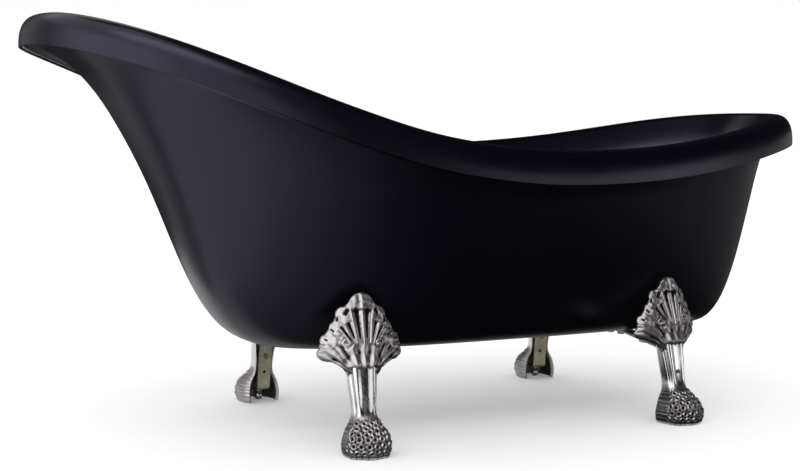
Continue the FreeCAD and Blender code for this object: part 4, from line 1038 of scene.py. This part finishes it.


# Painted reflections: the near-black cards darken what the acrylic reflects, the grey ones give it a soft
# shine
dark_reflection_cloth = cloth("dark_reflection_cloth", (0.025, 0.025, 0.030), (0.015, 0.015, 0.019))
grey_reflection_cloth = cloth("grey_reflection_cloth", (0.34, 0.34, 0.35), (0.28, 0.28, 0.29))
graded_reflection_cloth = cloth("graded_reflection_cloth", (1.0, 1.0, 1.0), (0.9, 0.9, 0.9))
along = node(graded_reflection_cloth.tree, "ShaderNodeSeparateXYZ", Vector=graded_reflection_cloth.place)
first, last = CARD_TONES[0][0], CARD_TONES[-1][0]
share = spread(graded_reflection_cloth.tree, along.outputs[0], 0.0, 1.0, first, last)
tones = node(graded_reflection_cloth.tree, "ShaderNodeValToRGB", Fac=share)
ramp = tones.color_ramp.elements
for x, _ in CARD_TONES[1:-1]:
    ramp.new((x - first) / (last - first))
for stop, (_, tone) in zip(ramp, CARD_TONES):
    stop.color = (tone, tone, tone, 1.0)
graded = mixed(graded_reflection_cloth.tree, 1.0, graded_reflection_cloth.colour, tones.outputs[0], "MULTIPLY")
feed(graded_reflection_cloth.tree, graded_reflection_cloth.shader.inputs["Base Color"], graded)
print("tones of the graded card", len(ramp))

# %% Cards
RIGHT, FRONT, BACK, TOP = 4.6, -3.6, 2.6, 3.4  # the ring of cards, in metres
FAR, DRAIN_TOP = 4.6, 0.9
CARD_Z, GREY_Z, FAR_Z = 0.004, 0.003, 0.005  # cards on the floor lie a little apart
UNDER_BATH = -0.05
CARDS = (
    ("front_flag", dark_reflection_cloth, upright((-0.5, FRONT), (RIGHT, FRONT), (0, TOP))),
    ("top_flag", dark_reflection_cloth, level((-0.3, RIGHT), (FRONT, BACK), TOP)),
    ("floor_card", graded_reflection_cloth, level((-0.8, RIGHT), (FRONT, UNDER_BATH), CARD_Z)),
    ("floor_card_right", graded_reflection_cloth, level((0.8, RIGHT), (UNDER_BATH, BACK), CARD_Z)),
    ("floor_grey_left", grey_reflection_cloth, level((-3.4, -0.75), (0.2, 3.4), GREY_Z)),
    ("drain_flag", grey_reflection_cloth, upright((RIGHT, FRONT), (RIGHT, BACK), (0, DRAIN_TOP))),
    ("drain_top_flag", dark_reflection_cloth, upright((RIGHT, FRONT), (RIGHT, BACK), (DRAIN_TOP, TOP))),
    ("back_flag", dark_reflection_cloth, upright((0.6, BACK), (RIGHT, BACK), (0, TOP))),
    ("slipper_flag", grey_reflection_cloth, upright((-4.6, 1.4), (-1.4, FAR), (0, TOP))),
    ("far_flag", dark_reflection_cloth, upright((-1.4, FAR), (3.0, FAR), (0, TOP))),
    ("far_top_flag", dark_reflection_cloth, level((-1.1, -0.3), (0.5, BACK), TOP)),
    ("far_floor_flag", dark_reflection_cloth, level((-1.05, 3.0), (1.3, FAR), FAR_Z)),
)

# No card is seen by the camera or by diffuse or shadow rays: each is a painted reflection only
for name, look, corners in CARDS:
    card = add_mesh(name, corners, ONE_FACE)
    card.data.materials.append(look.material)
    for ray in ("visible_camera", "visible_diffuse", "visible_shadow", "visible_transmission"):
        setattr(card, ray, False)
print("cards", len(CARDS))

# %% [markdown]
# A softbox is a lamp with a large face: the larger it is, the softer its shine on the
# acrylic. Four weak ones light the slipper end, the feet and the drain end.

# %% Softboxes
# Name, place, what it aims at, width, height, watts
SOFTBOXES = (
    ("slipper_softbox", (-3.3, -1.5, 1.4), (-0.3, 0, 0.4), 3.6, 2.2, 20),
    ("slipper_top_softbox", (-1.1, -1.7, 3.1), (-0.4, -0.3, 0.6), 2.4, 1.4, 17),
    ("feet_softbox", (2.0, -2.6, 0.4), (0.3, -0.3, 0.2), 1.8, 0.6, 4),
    ("drain_softbox", (4.2, -2.6, 0.7), (0.4, 0, 0.4), 2.4, 1.2, 7),
)

for name, at, aim, wide, high, watts in SOFTBOXES:
    lamp = bpy.data.lights.new(name, "AREA")
    lamp.shape, lamp.size, lamp.size_y, lamp.energy = "RECTANGLE", wide, high, watts
    lit = bpy.data.objects.new(name, lamp)
    back = np.asarray(at, float) - aim
    back /= np.linalg.norm(back)
    side = np.cross(UP, back)
    side /= np.linalg.norm(side)
    lit.matrix_world = standing(side, np.cross(back, side), back, at)
    lit.visible_camera = False
    bpy.context.scene.collection.objects.link(lit)
print("softboxes", len(SOFTBOXES))

# %% Finish with the plain view transform
bpy.context.scene.view_settings.view_transform = "Standard"
